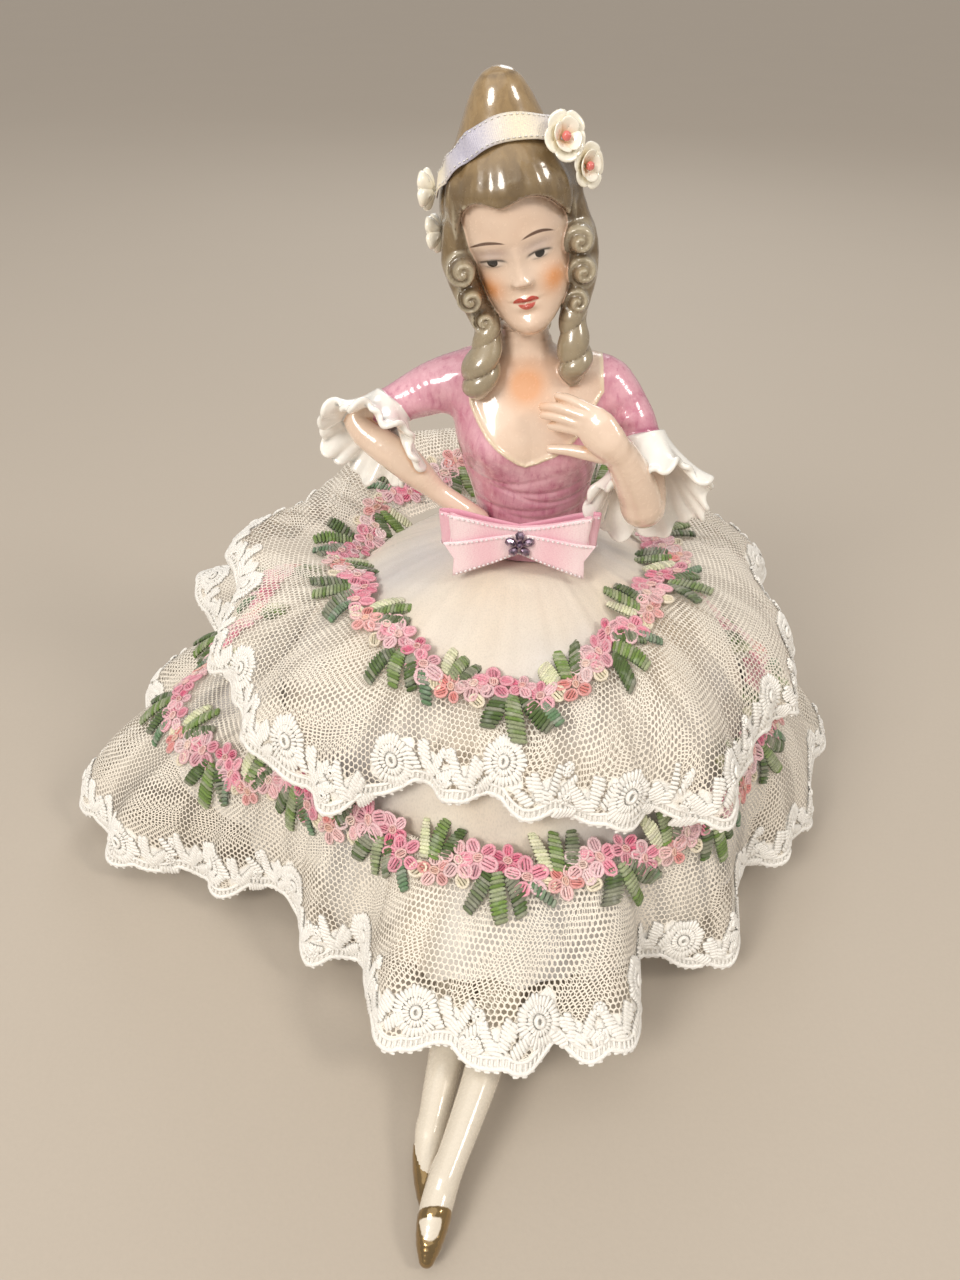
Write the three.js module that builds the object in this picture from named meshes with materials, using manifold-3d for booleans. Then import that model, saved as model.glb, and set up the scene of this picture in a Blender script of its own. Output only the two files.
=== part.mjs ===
// A porcelain half-doll in a rococo gown, sewn to a stuffed cushion that is her skirt. Two gathered lace
// ruffles, a lining flounce and two embroidered flower garlands go round the cushion, a ribbon bow sits
// at the waist, and a pair of crossed porcelain legs comes out at the front.
// Millimetres, +Z up. She faces -Y. The origin is the centre of the cushion's flat underside.
import * as THREE from "three";
import Module from "manifold-3d";

const wasm = await Module();
wasm.setup();

// Driving dimensions
const GAP = 0.3; // clearance between pieces that touch
const CUSHION_DOME_TOP = 100.8; // where its dome would close if the seat were not cut flat
const CUSHION_RADIUS = 73; // at its widest
const CUSHION_WIDEST_Z = 28;
const CUSHION_FOOT_RADIUS = 61; // the flat underside
const CUSHION_SEAT_RADIUS = 19; // the flat top that the half-doll stands on
const DOLL_HEIGHT = 111.5; // waist edge to the top of the hair
const CUFF_WALL = 1.4;
const LACE_THICKNESS = 1; // the net with its raised embroidery
const LINING_THICKNESS = 0.8;
const GARLAND_THICKNESS = 1.6;
const GARLAND_WIDTH = 11; // over the blossoms
const HAIR_RIBBON_WIDTH = 6;
const BOW_RIBBON_WIDTH = 10;
const RIBBON_THICKNESS = 0.8;
const BOW_SPAN = 39;
const GEM_RADIUS = 3.9; // the metal flower on the bow
const HAIR_FLOWER_RADIUS = 5;
const LEG_RADIUS = 6.2; // the crossed legs at the cushion

// Colours of the materials
const PORCELAIN = 0xe9cdb2;
const SATIN = 0xeee6da;
const LACE = 0xf4eee4;
const BLOSSOM_PINK = 0xd9708f;
const BOW_PINK = 0xe8a0b0;
const PEARL_RIBBON = 0xd9d0d2;
const CREAM = 0xefe3cf;
const LILAC_METAL = 0x8a7686;

const degrees = (d) => (d * Math.PI) / 180;
const vector = (x, y, z) => new THREE.Vector3(x, y, z);
const mix = THREE.MathUtils.lerp;
const smooth = (x) => THREE.MathUtils.smoothstep(x, 0, 1);
const bell = (x, width) => Math.exp(-((x / width) ** 2));

// Value of a smooth line through [position, value] pairs at x.
function along(pairs, x) {
  if (x <= pairs[0][0]) return pairs[0][1];
  for (let i = 1; i < pairs.length; i++)
    if (x <= pairs[i][0]) {
      const [a, va] = pairs[i - 1];
      const [b, vb] = pairs[i];
      return mix(va, vb, (1 - Math.cos((Math.PI * (x - a)) / (b - a))) / 2);
    }
  return pairs[pairs.length - 1][1];
}

// A solid from vertices and triangles that close on themselves, turned to face out.
function solid(points, triangles) {
  const corner = (i) => points[i];
  const volume = triangles.reduce((v, [a, b, c]) => v + corner(a).dot(corner(b).clone().cross(corner(c))), 0);
  const facing = volume > 0 ? triangles : triangles.map(([a, b, c]) => [a, c, b]);
  return new wasm.Manifold(
    new wasm.Mesh({
      numProp: 3,
      vertProperties: new Float32Array(points.flatMap((p) => [p.x, p.y, p.z])),
      triVerts: new Uint32Array(facing.flat()),
    }),
  );
}

// A skin over rings of points, one after the other: capped at both ends, or closed on itself.
function skin(rings, closed = false) {
  const n = rings[0].length;
  const points = rings.flat();
  const triangles = [];
  const spans = closed ? rings.length : rings.length - 1;
  for (let i = 0; i < spans; i++)
    for (let j = 0; j < n; j++) {
      const low = i * n;
      const high = ((i + 1) % rings.length) * n;
      const k = (j + 1) % n;
      triangles.push([low + j, low + k, high + k], [low + j, high + k, high + j]);
    }
  if (closed) return solid(points, triangles);
  const middle = (ring) => ring.reduce((s, p) => s.add(p), vector(0, 0, 0)).divideScalar(n);
  const first = points.push(middle(rings[0])) - 1;
  const last = points.push(middle(rings[rings.length - 1])) - 1;
  const top = (rings.length - 1) * n;
  for (let j = 0; j < n; j++) {
    const k = (j + 1) % n;
    triangles.push([first, k, j], [last, top + j, top + k]);
  }
  return solid(points, triangles);
}

// Points of a closed curve given by its angle.
function ring(count, point) {
  return Array.from({ length: count }, (_, j) => point((j / count) * 2 * Math.PI));
}

// A round limb through stations [x, y, z, radius], with domed ends and an optional flattening.
function limb(stations, sides, flat = 1, flatAxis = vector(0, 1, 0)) {
  const path = stations.map(([x, y, z]) => vector(x, y, z));
  const rings = [];
  let u = flatAxis.clone();
  path.forEach((p, i) => {
    const forward = path[Math.min(i + 1, path.length - 1)].clone().sub(path[Math.max(i - 1, 0)]).normalize();
    u = u.clone().addScaledVector(forward, -u.dot(forward)).normalize();
    const side = forward.clone().cross(u);
    const around = (shift, radius) =>
      ring(sides, (a) =>
        p
          .clone()
          .addScaledVector(forward, shift)
          .addScaledVector(u, Math.cos(a) * radius * flat)
          .addScaledVector(side, Math.sin(a) * radius),
      );
    const r = stations[i][3];
    if (i === 0) rings.push(around(-0.6 * r * flat, 0.55 * r));
    rings.push(around(0, r));
    if (i === path.length - 1) rings.push(around(0.6 * r * flat, 0.55 * r));
  });
  return skin(rings);
}

// A flat band of one thickness along stations {centre, across, normal, half}.
function band(stations, thickness, closed = false) {
  const rings = stations.map(({ centre, across, normal, half }) => {
    const edge = (side, lift) => centre.clone().addScaledVector(across, side * half).addScaledVector(normal, lift);
    return [edge(-1, 0), edge(1, 0), edge(1, thickness), edge(-1, thickness)];
  });
  return skin(rings, closed);
}

// A sheet closed around the axis: face(t, azimuth) is a point of its outer side, t running from edge to edge.
function sheet(rows, columns, face, thickness) {
  const step = 0.01;
  const inward = (t, a) => {
    const down = face(Math.min(1, t + step), a).sub(face(Math.max(0, t - step), a));
    return face(t, a + step).sub(face(t, a - step)).cross(down).normalize();
  };
  const rings = Array.from({ length: columns }, (_, j) => {
    const a = (j / columns) * 2 * Math.PI;
    const outer = Array.from({ length: rows }, (_, i) => face(i / (rows - 1), a));
    const inner = outer.map((p, i) => p.clone().addScaledVector(inward(i / (rows - 1), a), thickness));
    return [...outer, ...inner.reverse()];
  });
  return skin(rings, true);
}

const united = (solids) => solids.reduce((all, s) => all.add(s));

// Cushion

const DOME_RISE = CUSHION_DOME_TOP - CUSHION_WIDEST_Z;

// Radius of the cushion at a height above its underside.
function cushionRadius(z) {
  if (z > CUSHION_WIDEST_Z) return CUSHION_RADIUS * Math.sqrt(Math.max(0, 1 - ((z - CUSHION_WIDEST_Z) / DOME_RISE) ** 2));
  return mix(CUSHION_RADIUS, CUSHION_FOOT_RADIUS, (1 - z / CUSHION_WIDEST_Z) ** 2.4);
}

const SEAT_Z = CUSHION_WIDEST_Z + DOME_RISE * Math.sqrt(1 - (CUSHION_SEAT_RADIUS / CUSHION_RADIUS) ** 2);

// How far a layer of the given lift stands out sideways from the cushion at a height.
function layerRadius(z, lift) {
  const slope = cushionRadius(z - 0.5) - cushionRadius(z + 0.5);
  return cushionRadius(z) + lift * Math.hypot(1, slope);
}

// A point at an azimuth in radians, which is 0 at the front and grows towards her left hand.
const atAzimuth = (azimuth, r, z) => vector(Math.sin(azimuth) * r, -Math.cos(azimuth) * r, z);

// The cushion, or what a piece is cut back with to stay clear of it.
function cushion(clearance = 0) {
  const steps = 9;
  const rings = Array.from({ length: steps + 1 }, (_, i) => {
    const z = (SEAT_Z * (1 - Math.cos((Math.PI * i) / steps))) / 2;
    return ring(36, (a) => atAzimuth(a, cushionRadius(z) + clearance, z + clearance * ((2 * i) / steps - 1)));
  });
  return skin(rings);
}

// Lace ruffles and lining

// Where the gathered edges are sewn: [azimuth in degrees, height on the cushion]
const UPPER_SEAM = [
  [-180, 91],
  [-150, 90],
  [-127, 85.5],
  [-108, 83.5],
  [-74, 88],
  [-56, 88.5],
  [-36, 86.5],
  [-12, 84],
  [2, 83.6],
  [13, 86],
  [24, 88],
  [37, 91.5],
  [55, 93],
  [95, 91],
  [130, 88.5],
  [180, 91],
];
const LOWER_SEAM = [
  [-180, 55],
  [-110, 57],
  [-45, 57],
  [-18, 52],
  [30, 51],
  [80, 54],
  [180, 55],
];
// Hems: [azimuth in degrees, reach beyond the widest part of the cushion, height]
const UPPER_HEM = [
  [-180, 12, 62],
  [-157, 5, 70],
  [-138, 13, 68],
  [-121, 6, 76],
  [-103, 14, 79],
  [-90, 8, 73],
  [-76, 11.5, 65],
  [-63, 6, 63],
  [-52, 9, 60],
  [-39, 5, 58],
  [-24, -6.4, 64],
  [-8, -6.6, 66],
  [3, -4, 64],
  [17, -3, 60.5],
  [24, -1.5, 59],
  [38, 7.4, 57],
  [50, -1.5, 60.5],
  [66, 2, 61],
  [79, 6.2, 60.5],
  [100, 0.8, 70],
  [117, 9, 72],
  [134, 2, 70],
  [152, 10, 64],
  [167, 2, 66],
  [180, 12, 62],
];
const LOWER_HEM = [
  [-180, 28, 8],
  [-166, 14, 15],
  [-151, 31, 8],
  [-137, 22, 26],
  [-118, 50, 47],
  [-108, 32, 34],
  [-98, 47, 26],
  [-93, 41, 20],
  [-84, 63, 8],
  [-74, 49, 9],
  [-61, 25, 7],
  [-51, 9, 16],
  [-38, 15.5, 11],
  [-29, 11, 14],
  [-17, 31, 20],
  [-2, 35, 23],
  [13, 31, 20.5],
  [26, 7.5, 14],
  [38, 14, 9],
  [58, 5.5, 14],
  [74, 18, 11],
  [100, 27, 22],
  [114, 14, 22],
  [130, 28, 14],
  [147, 12, 14],
  [163, 29, 8],
  [180, 28, 8],
];
const LINING_HEM = [
  [-180, 10, 9],
  [-130, 18, 24],
  [-100, 31, 26],
  [-85, 33, 27],
  [-62, 12, 20],
  [-48, 4.5, 12],
  [-28, 6, 12],
  [-8, 18, 29],
  [4, 16, 27],
  [25, 4, 10],
  [60, 3, 9],
  [95, 9, 20],
  [120, 5, 12],
  [180, 10, 9],
];
// How much each tier puffs out between seam and hem: [azimuth, 0 for straight to 1 for a quarter round]
const UPPER_PUFF = [
  [-180, 0.95],
  [180, 0.95],
];
const LOWER_PUFF = [
  [-180, 0.55],
  [-120, 0.75],
  [-60, 0.75],
  [-30, 0.4],
  [30, 0.35],
  [80, 0.7],
  [180, 0.55],
];
const LINING_PUFF = [
  [-180, 0.3],
  [180, 0.3],
];

// How far the upper tier stands up behind her before it falls: [azimuth, height]
const UPPER_RISE = [
  [-180, 17],
  [-150, 19],
  [-118, 10],
  [-92, 3],
  [-70, 0],
  [75, 0],
  [110, 3],
  [140, 10],
  [180, 17],
];
const NO_RISE = [[0, 0]];

const column = (table, k) => table.map((row) => [row[0], row[k]]);

// The outer side of a gathered tier, as a function of its share from seam to hem and the azimuth.
function tier({ seam, hem, puff, lift, rise = NO_RISE, below = 0 }) {
  const reach = column(hem, 1);
  const height = column(hem, 2);
  return (t, azimuth) => {
    const a = (((azimuth * 180) / Math.PI + 540) % 360) - 180;
    const seamZ = along(seam, a) - below;
    const out = mix(t, Math.sin((t * Math.PI) / 2), along(puff, a));
    const drop = mix(t, 1 - Math.cos((t * Math.PI) / 2), along(puff, a));
    const z = mix(seamZ, along(height, a), drop) + along(rise, a) * Math.sin(Math.PI * t);
    const r = mix(layerRadius(seamZ, lift), CUSHION_RADIUS + along(reach, a), out);
    return atAzimuth(azimuth, Math.max(r, layerRadius(z, lift)), z);
  };
}

const LINING_LIFT = GAP + LINING_THICKNESS;
const LOWER_LIFT = LINING_LIFT + GAP + LACE_THICKNESS;
const upperLace = tier({
  seam: UPPER_SEAM,
  hem: UPPER_HEM,
  puff: UPPER_PUFF,
  lift: GAP + LACE_THICKNESS,
  rise: UPPER_RISE,
});
const lowerLace = tier({ seam: LOWER_SEAM, hem: LOWER_HEM, puff: LOWER_PUFF, lift: LOWER_LIFT });
const lining = tier({ seam: LOWER_SEAM, hem: LINING_HEM, puff: LINING_PUFF, lift: LINING_LIFT, below: 3 });

// Garlands

// Where each garland's middle line lies on its lace: [azimuth in degrees, share from seam to hem]
const UPPER_GARLAND = [
  [-180, 0.12],
  [-145, 0.12],
  [-110, 0.04],
  [110, 0.04],
  [180, 0.12],
];
const LOWER_GARLAND = [
  [-180, 0.08],
  [-125, 0.3],
  [-100, 0.3],
  [-62, 0.38],
  [-45, 0.24],
  [-25, 0.08],
  [180, 0.08],
];

// An embroidered band round a tier of lace, its edges lobed by the blossoms and leaves.
function garland(lace, shares, lift, columns, lobes) {
  const step = 0.01;
  const stations = ring(columns, (azimuth) => {
    const a = (((azimuth * 180) / Math.PI + 540) % 360) - 180;
    const t = along(shares, a);
    const across = lace(t + step, azimuth).sub(lace(t, azimuth)).normalize();
    const onward = lace(t, azimuth + step).sub(lace(t, azimuth - step)).normalize();
    const normal = onward.cross(across).normalize().negate();
    if (normal.dot(atAzimuth(azimuth, 1, 1)) < 0) normal.negate();
    const centre = lace(t, azimuth).addScaledVector(normal, lift);
    const half = (GARLAND_WIDTH / 2) * (0.86 + 0.14 * Math.cos(lobes * azimuth));
    return { centre, across, normal, half };
  });
  return band(stations, GARLAND_THICKNESS, true);
}

// Half-doll

const DOLL_BASE_Z = SEAT_Z + GAP;
const DOLL_DRAWN_HEIGHT = 111.2; // the height that the figure's stations below are written for
const HEAD_CENTRE = [-4.6, -1.5, 73.4];
const HEAD_LEAN = degrees(-9); // towards her right shoulder
const HEAD_TURN = degrees(6);
const HEAD_BOW = degrees(4);

// Bodice and chest: [height, centre x, half width, half depth, centre y]
const TORSO = [
  [0, 2, 16.6, 12.4, 0],
  [5, 2, 15.2, 11.4, 0],
  [10, 1.8, 14.2, 10.5, 0],
  [17, 1.4, 15.3, 11.3, -0.4],
  [24, 0.9, 17, 12.4, -0.8],
  [31, 0.5, 18.4, 13.2, -1.2],
  [37, 0.2, 19, 12.6, -0.8],
  [43, 0, 20, 10.6, 0],
  [47, -0.3, 18.4, 9.2, 0.4],
  [50.5, -1.2, 12.6, 7.8, 0.6],
  [53, -1.8, 7.6, 6.8, 0.4],
];

function torso() {
  return skin(
    TORSO.map(([z, x, wide, deep, y]) =>
      ring(24, (a) => {
        const bust = Math.cos(a) > 0 ? 3 * bell(z - 31, 7) * bell(Math.abs(Math.sin(a)) - 0.5, 0.32) : 0;
        return vector(x + Math.sin(a) * (wide + 0.3 * bust), y - Math.cos(a) * (deep + bust), z);
      }),
    ),
  );
}

// The head and its face: [height from the head's centre, half width, front, back]
const HEAD = [
  [-13.2, 3.4, -10, -3],
  [-12, 5.6, -12, -0.5],
  [-9.4, 8, -12.7, 3],
  [-6.6, 9.4, -12.4, 6],
  [-4.4, 10.2, -12.3, 8],
  [-2, 10.9, -12.5, 9.6],
  [2.2, 11.5, -12.2, 10.8],
  [5, 11.7, -12.9, 11],
  [10, 11.4, -12.6, 11],
  [16, 9, -9.4, 9],
];

// Relief of the face over the head's ovals, by its height and its distance from the face's middle line.
function faceRelief(x, z) {
  const ridge = [
    [-5.4, 0],
    [-3, 1],
    [0, 0.72],
    [3.4, 0.3],
    [5, 0],
  ];
  const nose = 3.9 * bell(x, 2.1) * along(ridge, z);
  const sockets = -1.3 * bell(Math.abs(x) - 4.7, 2.2) * bell(z - 2.5, 1.8);
  const lips = 0.9 * bell(x, 2.6) * bell(z + 6.9, 1.3);
  const chin = 0.9 * bell(x, 3) * bell(z + 11.2, 1.8);
  return nose + sockets + lips + chin;
}

function head() {
  return skin(
    HEAD.map(([z, wide, front, back]) =>
      ring(24, (a) => {
        const x = Math.sin(a) * wide;
        const relief = Math.cos(a) > 0 ? faceRelief(x, z) : 0;
        return vector(x, (front + back) / 2 - (Math.cos(a) * (back - front)) / 2 - relief, z);
      }),
    ),
  );
}

// Outline of the dressed hair: [height from the head's centre, half width, front, back]
const HAIR = [
  [-7, 9.4, -3, 10.5],
  [-1, 12.6, -6.4, 13.2],
  [5, 14.6, -9.6, 14.6],
  [10, 15.4, -12.8, 14.8],
  [14, 15.3, -14.4, 14.3],
  [18, 14.2, -14.2, 13.4],
  [22, 12.4, -12, 11.6],
  [26, 10.2, -9.2, 9.6],
  [30, 8.2, -7, 7.6],
  [34, 6.2, -5.4, 5.8],
  [37, 4, -3.6, 4],
  [38.5, 1.8, -1.6, 1.8],
];

// A point of the hair's surface at a height and an angle, which is 0 at the front.
function hairPoint(z, a, lift = 0) {
  const wide = along(column(HAIR, 1), z) + lift;
  const front = along(column(HAIR, 2), z) - lift;
  const back = along(column(HAIR, 3), z) + lift;
  return vector(Math.sin(a) * wide, (front + back) / 2 - (Math.cos(a) * (back - front)) / 2, z);
}

const HAIR_WAVE = 0.4; // height of the combed locks

function hair() {
  const wave = (z, a) => HAIR_WAVE * Math.cos(9 * a + z / 4) * smooth((30 - z) / 8) * smooth(1.6 - 2 * Math.cos(a));
  return skin(HAIR.map(([z]) => ring(24, (a) => hairPoint(z, a, wave(z, a)))));
}

// Roll curls at the temples, in the head's own axes: [from, to, radius]
const CURLS = [
  [[-12.4, -6.4, -1.6], [-14.2, 3, -0.4], 4.7],
  [[-10.8, -7.4, -8.2], [-11.8, 0, -7.6], 3.7],
  [[12.4, -6, 1.6], [14.2, 3.4, 2.4], 4.7],
  [[12.2, -6, -5.6], [12.8, 1, -5], 3.6],
];
// Ringlets on the shoulders and the nape, as limb stations in the head's own axes
const RINGLETS = [
  [
    [-8.2, -6.4, -11.4, 3],
    [-8.6, -7, -15, 3.2],
    [-9.4, -8, -19, 4.4],
    [-10.4, -9, -23, 4.4],
    [-11, -9.6, -26.4, 2.8],
  ],
  [
    [11.4, -4.4, -9.8, 3],
    [10.4, -6, -14.8, 3.1],
    [10.6, -7.2, -19, 3.6],
    [10.2, -8.6, -23, 3.8],
    [9.8, -9.2, -26, 2.6],
  ],
  [
    [-4, 9.4, -4, 4.4],
    [-4.4, 10.4, -12, 3.8],
    [-4.8, 9.4, -21, 2.6],
  ],
  [
    [4, 9.4, -4, 4.4],
    [4.8, 10.4, -12, 3.8],
    [5, 9.4, -21, 2.6],
  ],
];

function curls() {
  const rolls = CURLS.map(([from, to, r]) => limb([[...from, r], [...to, r * 0.85]], 9));
  return [...rolls, ...RINGLETS.map((stations) => limb(stations, 8))];
}

// Arms as limb stations: her right hand is on her hip, and her left lies on her breast.
const ARMS = [
  [
    [-14, 0.6, 44.8, 7.2],
    [-24, 0.7, 41.4, 6.5],
    [-33, -0.6, 37.8, 4.9],
    [-41, -2.2, 35.6, 3.7],
  ],
  [
    [-42.2, -3.4, 34.2, 3.6],
    [-41, -4.8, 32.2, 3.7],
    [-37, -6.6, 29.8, 4.2],
    [-30.5, -8.3, 25.6, 4.3],
    [-25, -9.3, 20.8, 3.3],
    [-19.3, -9.7, 16.1, 2.9],
    [-12, -9.4, 10.6, 3],
  ],
  [
    [15, 0.6, 45, 6.9],
    [20.9, -1, 42.2, 6.3],
    [25.6, -4.3, 36.6, 5.5],
    [28.4, -8.6, 28.6, 4.9],
    [29.6, -13, 18.4, 5.1],
  ],
  [
    [29.4, -13.8, 17.2, 5.2],
    [27.4, -16.6, 22.2, 5.2],
    [24.4, -18.8, 28.8, 4.8],
    [20.7, -20.8, 35.4, 4],
    [18.3, -21.6, 38.2, 3.7],
  ],
];
const PALM = [
  [18.5, -21.8, 38.1, 3.7],
  [15.6, -21.4, 40.4, 4.9],
  [12.9, -20.2, 42.2, 4.4],
];
const FINGERS = [
  [
    [13.9, -19.4, 45.2, 1.5],
    [8, -16.2, 46.4, 1.2],
    [5.9, -15, 46.5, 0.95],
  ],
  [
    [13.1, -19.8, 43.6, 1.5],
    [5.5, -16.6, 44.5, 1.2],
    [2.4, -15.2, 44, 0.95],
  ],
  [
    [12.5, -19.8, 41.7, 1.5],
    [5.4, -17, 42.4, 1.2],
    [2.7, -15.8, 42.2, 0.95],
  ],
  [
    [12, -19.6, 39.9, 1.5],
    [6.7, -17.6, 40.1, 1.2],
    [4.7, -16.7, 39.9, 0.95],
  ],
  [
    [16.4, -20.6, 34.8, 2.2],
    [12.9, -19.6, 34.6, 1.7],
    [4.8, -17.3, 34.3, 1.05],
  ],
];

// A fluted cuff that flares from a throat at the sleeve's end to a mouth round the elbow.
function cuff({ throat, narrow, inward, mouth, wide, outward, phase }) {
  const face = (t, a) => {
    const w = inward.clone().normalize().lerp(outward.clone().normalize(), t).normalize();
    const u = vector(0, 0, 1).addScaledVector(w, -w.z).normalize();
    const v = w.clone().cross(u);
    const turn = CUFF_FLUTES * a + phase + 0.7 * Math.sin(2 * a);
    const radius = mix(narrow, wide, t ** 1.3) + 1.1 * t ** 1.4 * Math.cos(turn);
    return throat
      .clone()
      .lerp(mouth, t)
      .addScaledVector(u, Math.cos(a) * radius)
      .addScaledVector(v, Math.sin(a) * radius)
      .addScaledVector(w, 1.6 * t ** 1.4 * Math.sin(turn) - 1.6 * Math.max(t - 0.75, 0));
  };
  return sheet(4, 36, face, CUFF_WALL);
}

const CUFF_FLUTES = 7;
const CUFFS = [
  {
    throat: vector(-33.9, -1.2, 38),
    narrow: 4.7,
    inward: vector(-0.62, -0.35, -0.7),
    mouth: vector(-39.4, -9.3, 30.2),
    wide: 13,
    outward: vector(-0.33, -0.86, -0.39),
    phase: 0.4,
  },
  {
    throat: vector(28.1, -6.8, 33.1),
    narrow: 5.2,
    inward: vector(0.25, -0.5, -0.83),
    mouth: vector(31, -13.3, 18.6),
    wide: 15,
    outward: vector(0.08, -0.88, -0.47),
    phase: 1.3,
  },
];

// Places something of the head on the doll.
const headPlace = new THREE.Matrix4()
  .makeRotationFromEuler(new THREE.Euler(HEAD_BOW, HEAD_LEAN, HEAD_TURN, "ZYX"))
  .setPosition(...HEAD_CENTRE);
const DOLL_SCALE = DOLL_HEIGHT / DOLL_DRAWN_HEIGHT;
const onHead = (s) => s.transform(headPlace.elements);

function halfDoll() {
  const neck = [
    [-1.6, 0.6, 50, 7],
    [-2, -0.2, 56, 6.1],
    [-2.8, -1.4, 64, 6.4],
  ];
  const pieces = [
    torso(),
    limb(neck, 14),
    onHead(united([head(), hair(), ...curls()])),
    ...ARMS.map((stations) => limb(stations, 12)),
    limb(PALM, 8, 0.45, vector(-0.35, -0.9, 0.2)),
    ...FINGERS.map((stations) => limb(stations, 5)),
    ...CUFFS.map(cuff),
  ];
  return united(pieces).scale(DOLL_SCALE);
}

// Ribbon and flowers in the hair

// The ribbon goes over the hair from one side to the other, highest in the middle.
const HAIR_RIBBON_TURN = degrees(97);
const HAIR_RIBBON_TOP = 29; // heights on the head
const HAIR_RIBBON_RIGHT = 17.5;
const HAIR_RIBBON_LEFT = 22;
const RIBBON_LIFT = GAP + HAIR_WAVE;

function hairRibbon() {
  const step = 0.02;
  const count = 24;
  const stations = Array.from({ length: count }, (_, i) => {
    const a = mix(-HAIR_RIBBON_TURN, HAIR_RIBBON_TURN, i / (count - 1));
    const height = (b) => mix(HAIR_RIBBON_TOP, b < 0 ? HAIR_RIBBON_RIGHT : HAIR_RIBBON_LEFT, (b / HAIR_RIBBON_TURN) ** 2);
    const point = (da, dz) => hairPoint(height(a + da) + dz, a + da, RIBBON_LIFT);
    const onward = point(step, 0).sub(point(-step, 0)).normalize();
    const up = point(0, 1).sub(point(0, -1));
    const across = up.addScaledVector(onward, -up.dot(onward)).normalize();
    return { centre: point(0, 0), across, normal: onward.clone().cross(across), half: HAIR_RIBBON_WIDTH / 2 };
  });
  return onHead(band(stations, RIBBON_THICKNESS)).scale(DOLL_SCALE);
}

const ON_RIBBON = RIBBON_LIFT + RIBBON_THICKNESS + GAP;
// Five-petalled porcelain flowers with a bead in the cup: [height, angle, lift, size, tilt up, angle it faces]
const HAIR_FLOWERS = [
  ["hair_flower_left_upper", 24.8, 55, ON_RIBBON + 0.4, 0.96, 0.4, 36],
  ["hair_flower_left_lower", 17.6, 76, ON_RIBBON, 0.8, -0.1, 78],
  ["hair_flower_right_upper", 17.4, -92, ON_RIBBON, 0.9, 0.2, -92],
  ["hair_flower_right_lower", 7.8, -94, RIBBON_LIFT, 0.84, -0.1, -96],
];

function hairFlower(z, angle, lift, size, tilt, facing) {
  const seat = hairPoint(z, degrees(angle), lift);
  const turn = degrees(facing);
  const w = vector(Math.sin(turn), -Math.cos(turn), tilt).normalize();
  const u = vector(0, 0, 1).addScaledVector(w, -w.z).normalize();
  const v = w.clone().cross(u);
  // rings of the cup and the bead: radius, height, depth of the petals' notches
  const rings = [
    [0.3, 0, 0],
    [0.62, 0.22, 0.1],
    [1, 0.7, 0.2],
    [0.5, 0.5, 0.05],
    [0.2, 0.62, 0],
    [0.14, 0.86, 0],
  ].map(([r, h, notch]) =>
    ring(10, (b) =>
      seat
        .clone()
        .addScaledVector(u, Math.cos(b) * HAIR_FLOWER_RADIUS * size * r * (1 - notch / 2 + (notch / 2) * Math.cos(5 * b)))
        .addScaledVector(v, Math.sin(b) * HAIR_FLOWER_RADIUS * size * r * (1 - notch / 2 + (notch / 2) * Math.cos(5 * b)))
        .addScaledVector(w, HAIR_FLOWER_RADIUS * size * h),
    ),
  );
  return onHead(skin(rings)).scale(DOLL_SCALE);
}

// Bow at the waist

const KNOT = vector(-1.4, -15.6, 9.4);
const KNOT_RADIUS = 2.8;
const KNOT_FRONT = -2.2; // where the knot's domed end starts

// A loop of ribbon from the knot to one side, opening as it goes.
function bowLoop(side) {
  const out = BOW_SPAN / 2;
  // [share of the reach, depth from the knot, half width share, rise]
  const path = [
    [0.04, -1.2, 0.5, 0],
    [0.4, -2.6, 0.76, 0.5],
    [0.8, -2.4, 0.96, 1],
    [1, -0.4, 1, 1.3],
    [0.86, 1.6, 0.96, 1.1],
    [0.45, 1.9, 0.7, 0.6],
    [0.04, 0.6, 0.5, 0],
  ].map(([x, y, half, z]) => ({ at: KNOT.clone().add(vector(side * x * out, y, z)), half: (half * BOW_RIBBON_WIDTH) / 2 }));
  const n = path.length;
  const stations = path.map(({ at, half }, i) => {
    const onward = path[(i + 1) % n].at.clone().sub(path[(i + n - 1) % n].at).normalize();
    const across = vector(0, 0, 1);
    return { centre: at, across, normal: onward.cross(across).normalize().multiplyScalar(-side), half };
  });
  return band(stations, RIBBON_THICKNESS, true);
}

// A tail of ribbon from the knot, down to one side.
function bowTail(side) {
  const stations = [
    [0.05, -2, 0, 0.5],
    [0.45, -4, -2.4, 0.72],
    [0.9, -4.2, -4.6, 0.84],
  ].map(([x, y, z, half]) => ({
    centre: KNOT.clone().add(vector((side * x * BOW_SPAN) / 2, y, z)),
    across: vector(side * 0.25, 0, 1).normalize(),
    normal: vector(0, -1, 0),
    half: (half * BOW_RIBBON_WIDTH) / 2,
  }));
  return band(stations, RIBBON_THICKNESS);
}

function bow() {
  const knot = limb(
    [
      [KNOT.x, KNOT.y + 3, KNOT.z, 2.6],
      [KNOT.x, KNOT.y + KNOT_FRONT, KNOT.z, KNOT_RADIUS],
    ],
    8,
    1,
    vector(0, 0, 1),
  );
  return united([knot, bowLoop(-1), bowLoop(1), bowTail(-1), bowTail(1)]).scale(DOLL_SCALE);
}

// A metal flower of five domed petals round a domed centre.
function gem() {
  const back = KNOT_FRONT - 0.6 * KNOT_RADIUS - GAP;
  const rings = [
    [0.96, 0, 0.24],
    [1, 0.14, 0.28],
    [0.6, 0.4, 0.12],
    [0.3, 0.26, 0],
    [0.16, 0.44, 0],
  ].map(([r, h, notch]) =>
    ring(15, (a) => {
      const reach = GEM_RADIUS * r * (1 - notch + notch * Math.abs(Math.cos(2.5 * a)));
      return KNOT.clone().add(vector(Math.sin(a) * reach, back - h * GEM_RADIUS, Math.cos(a) * reach));
    }),
  );
  return skin(rings).scale(DOLL_SCALE);
}

// Legs

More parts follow.
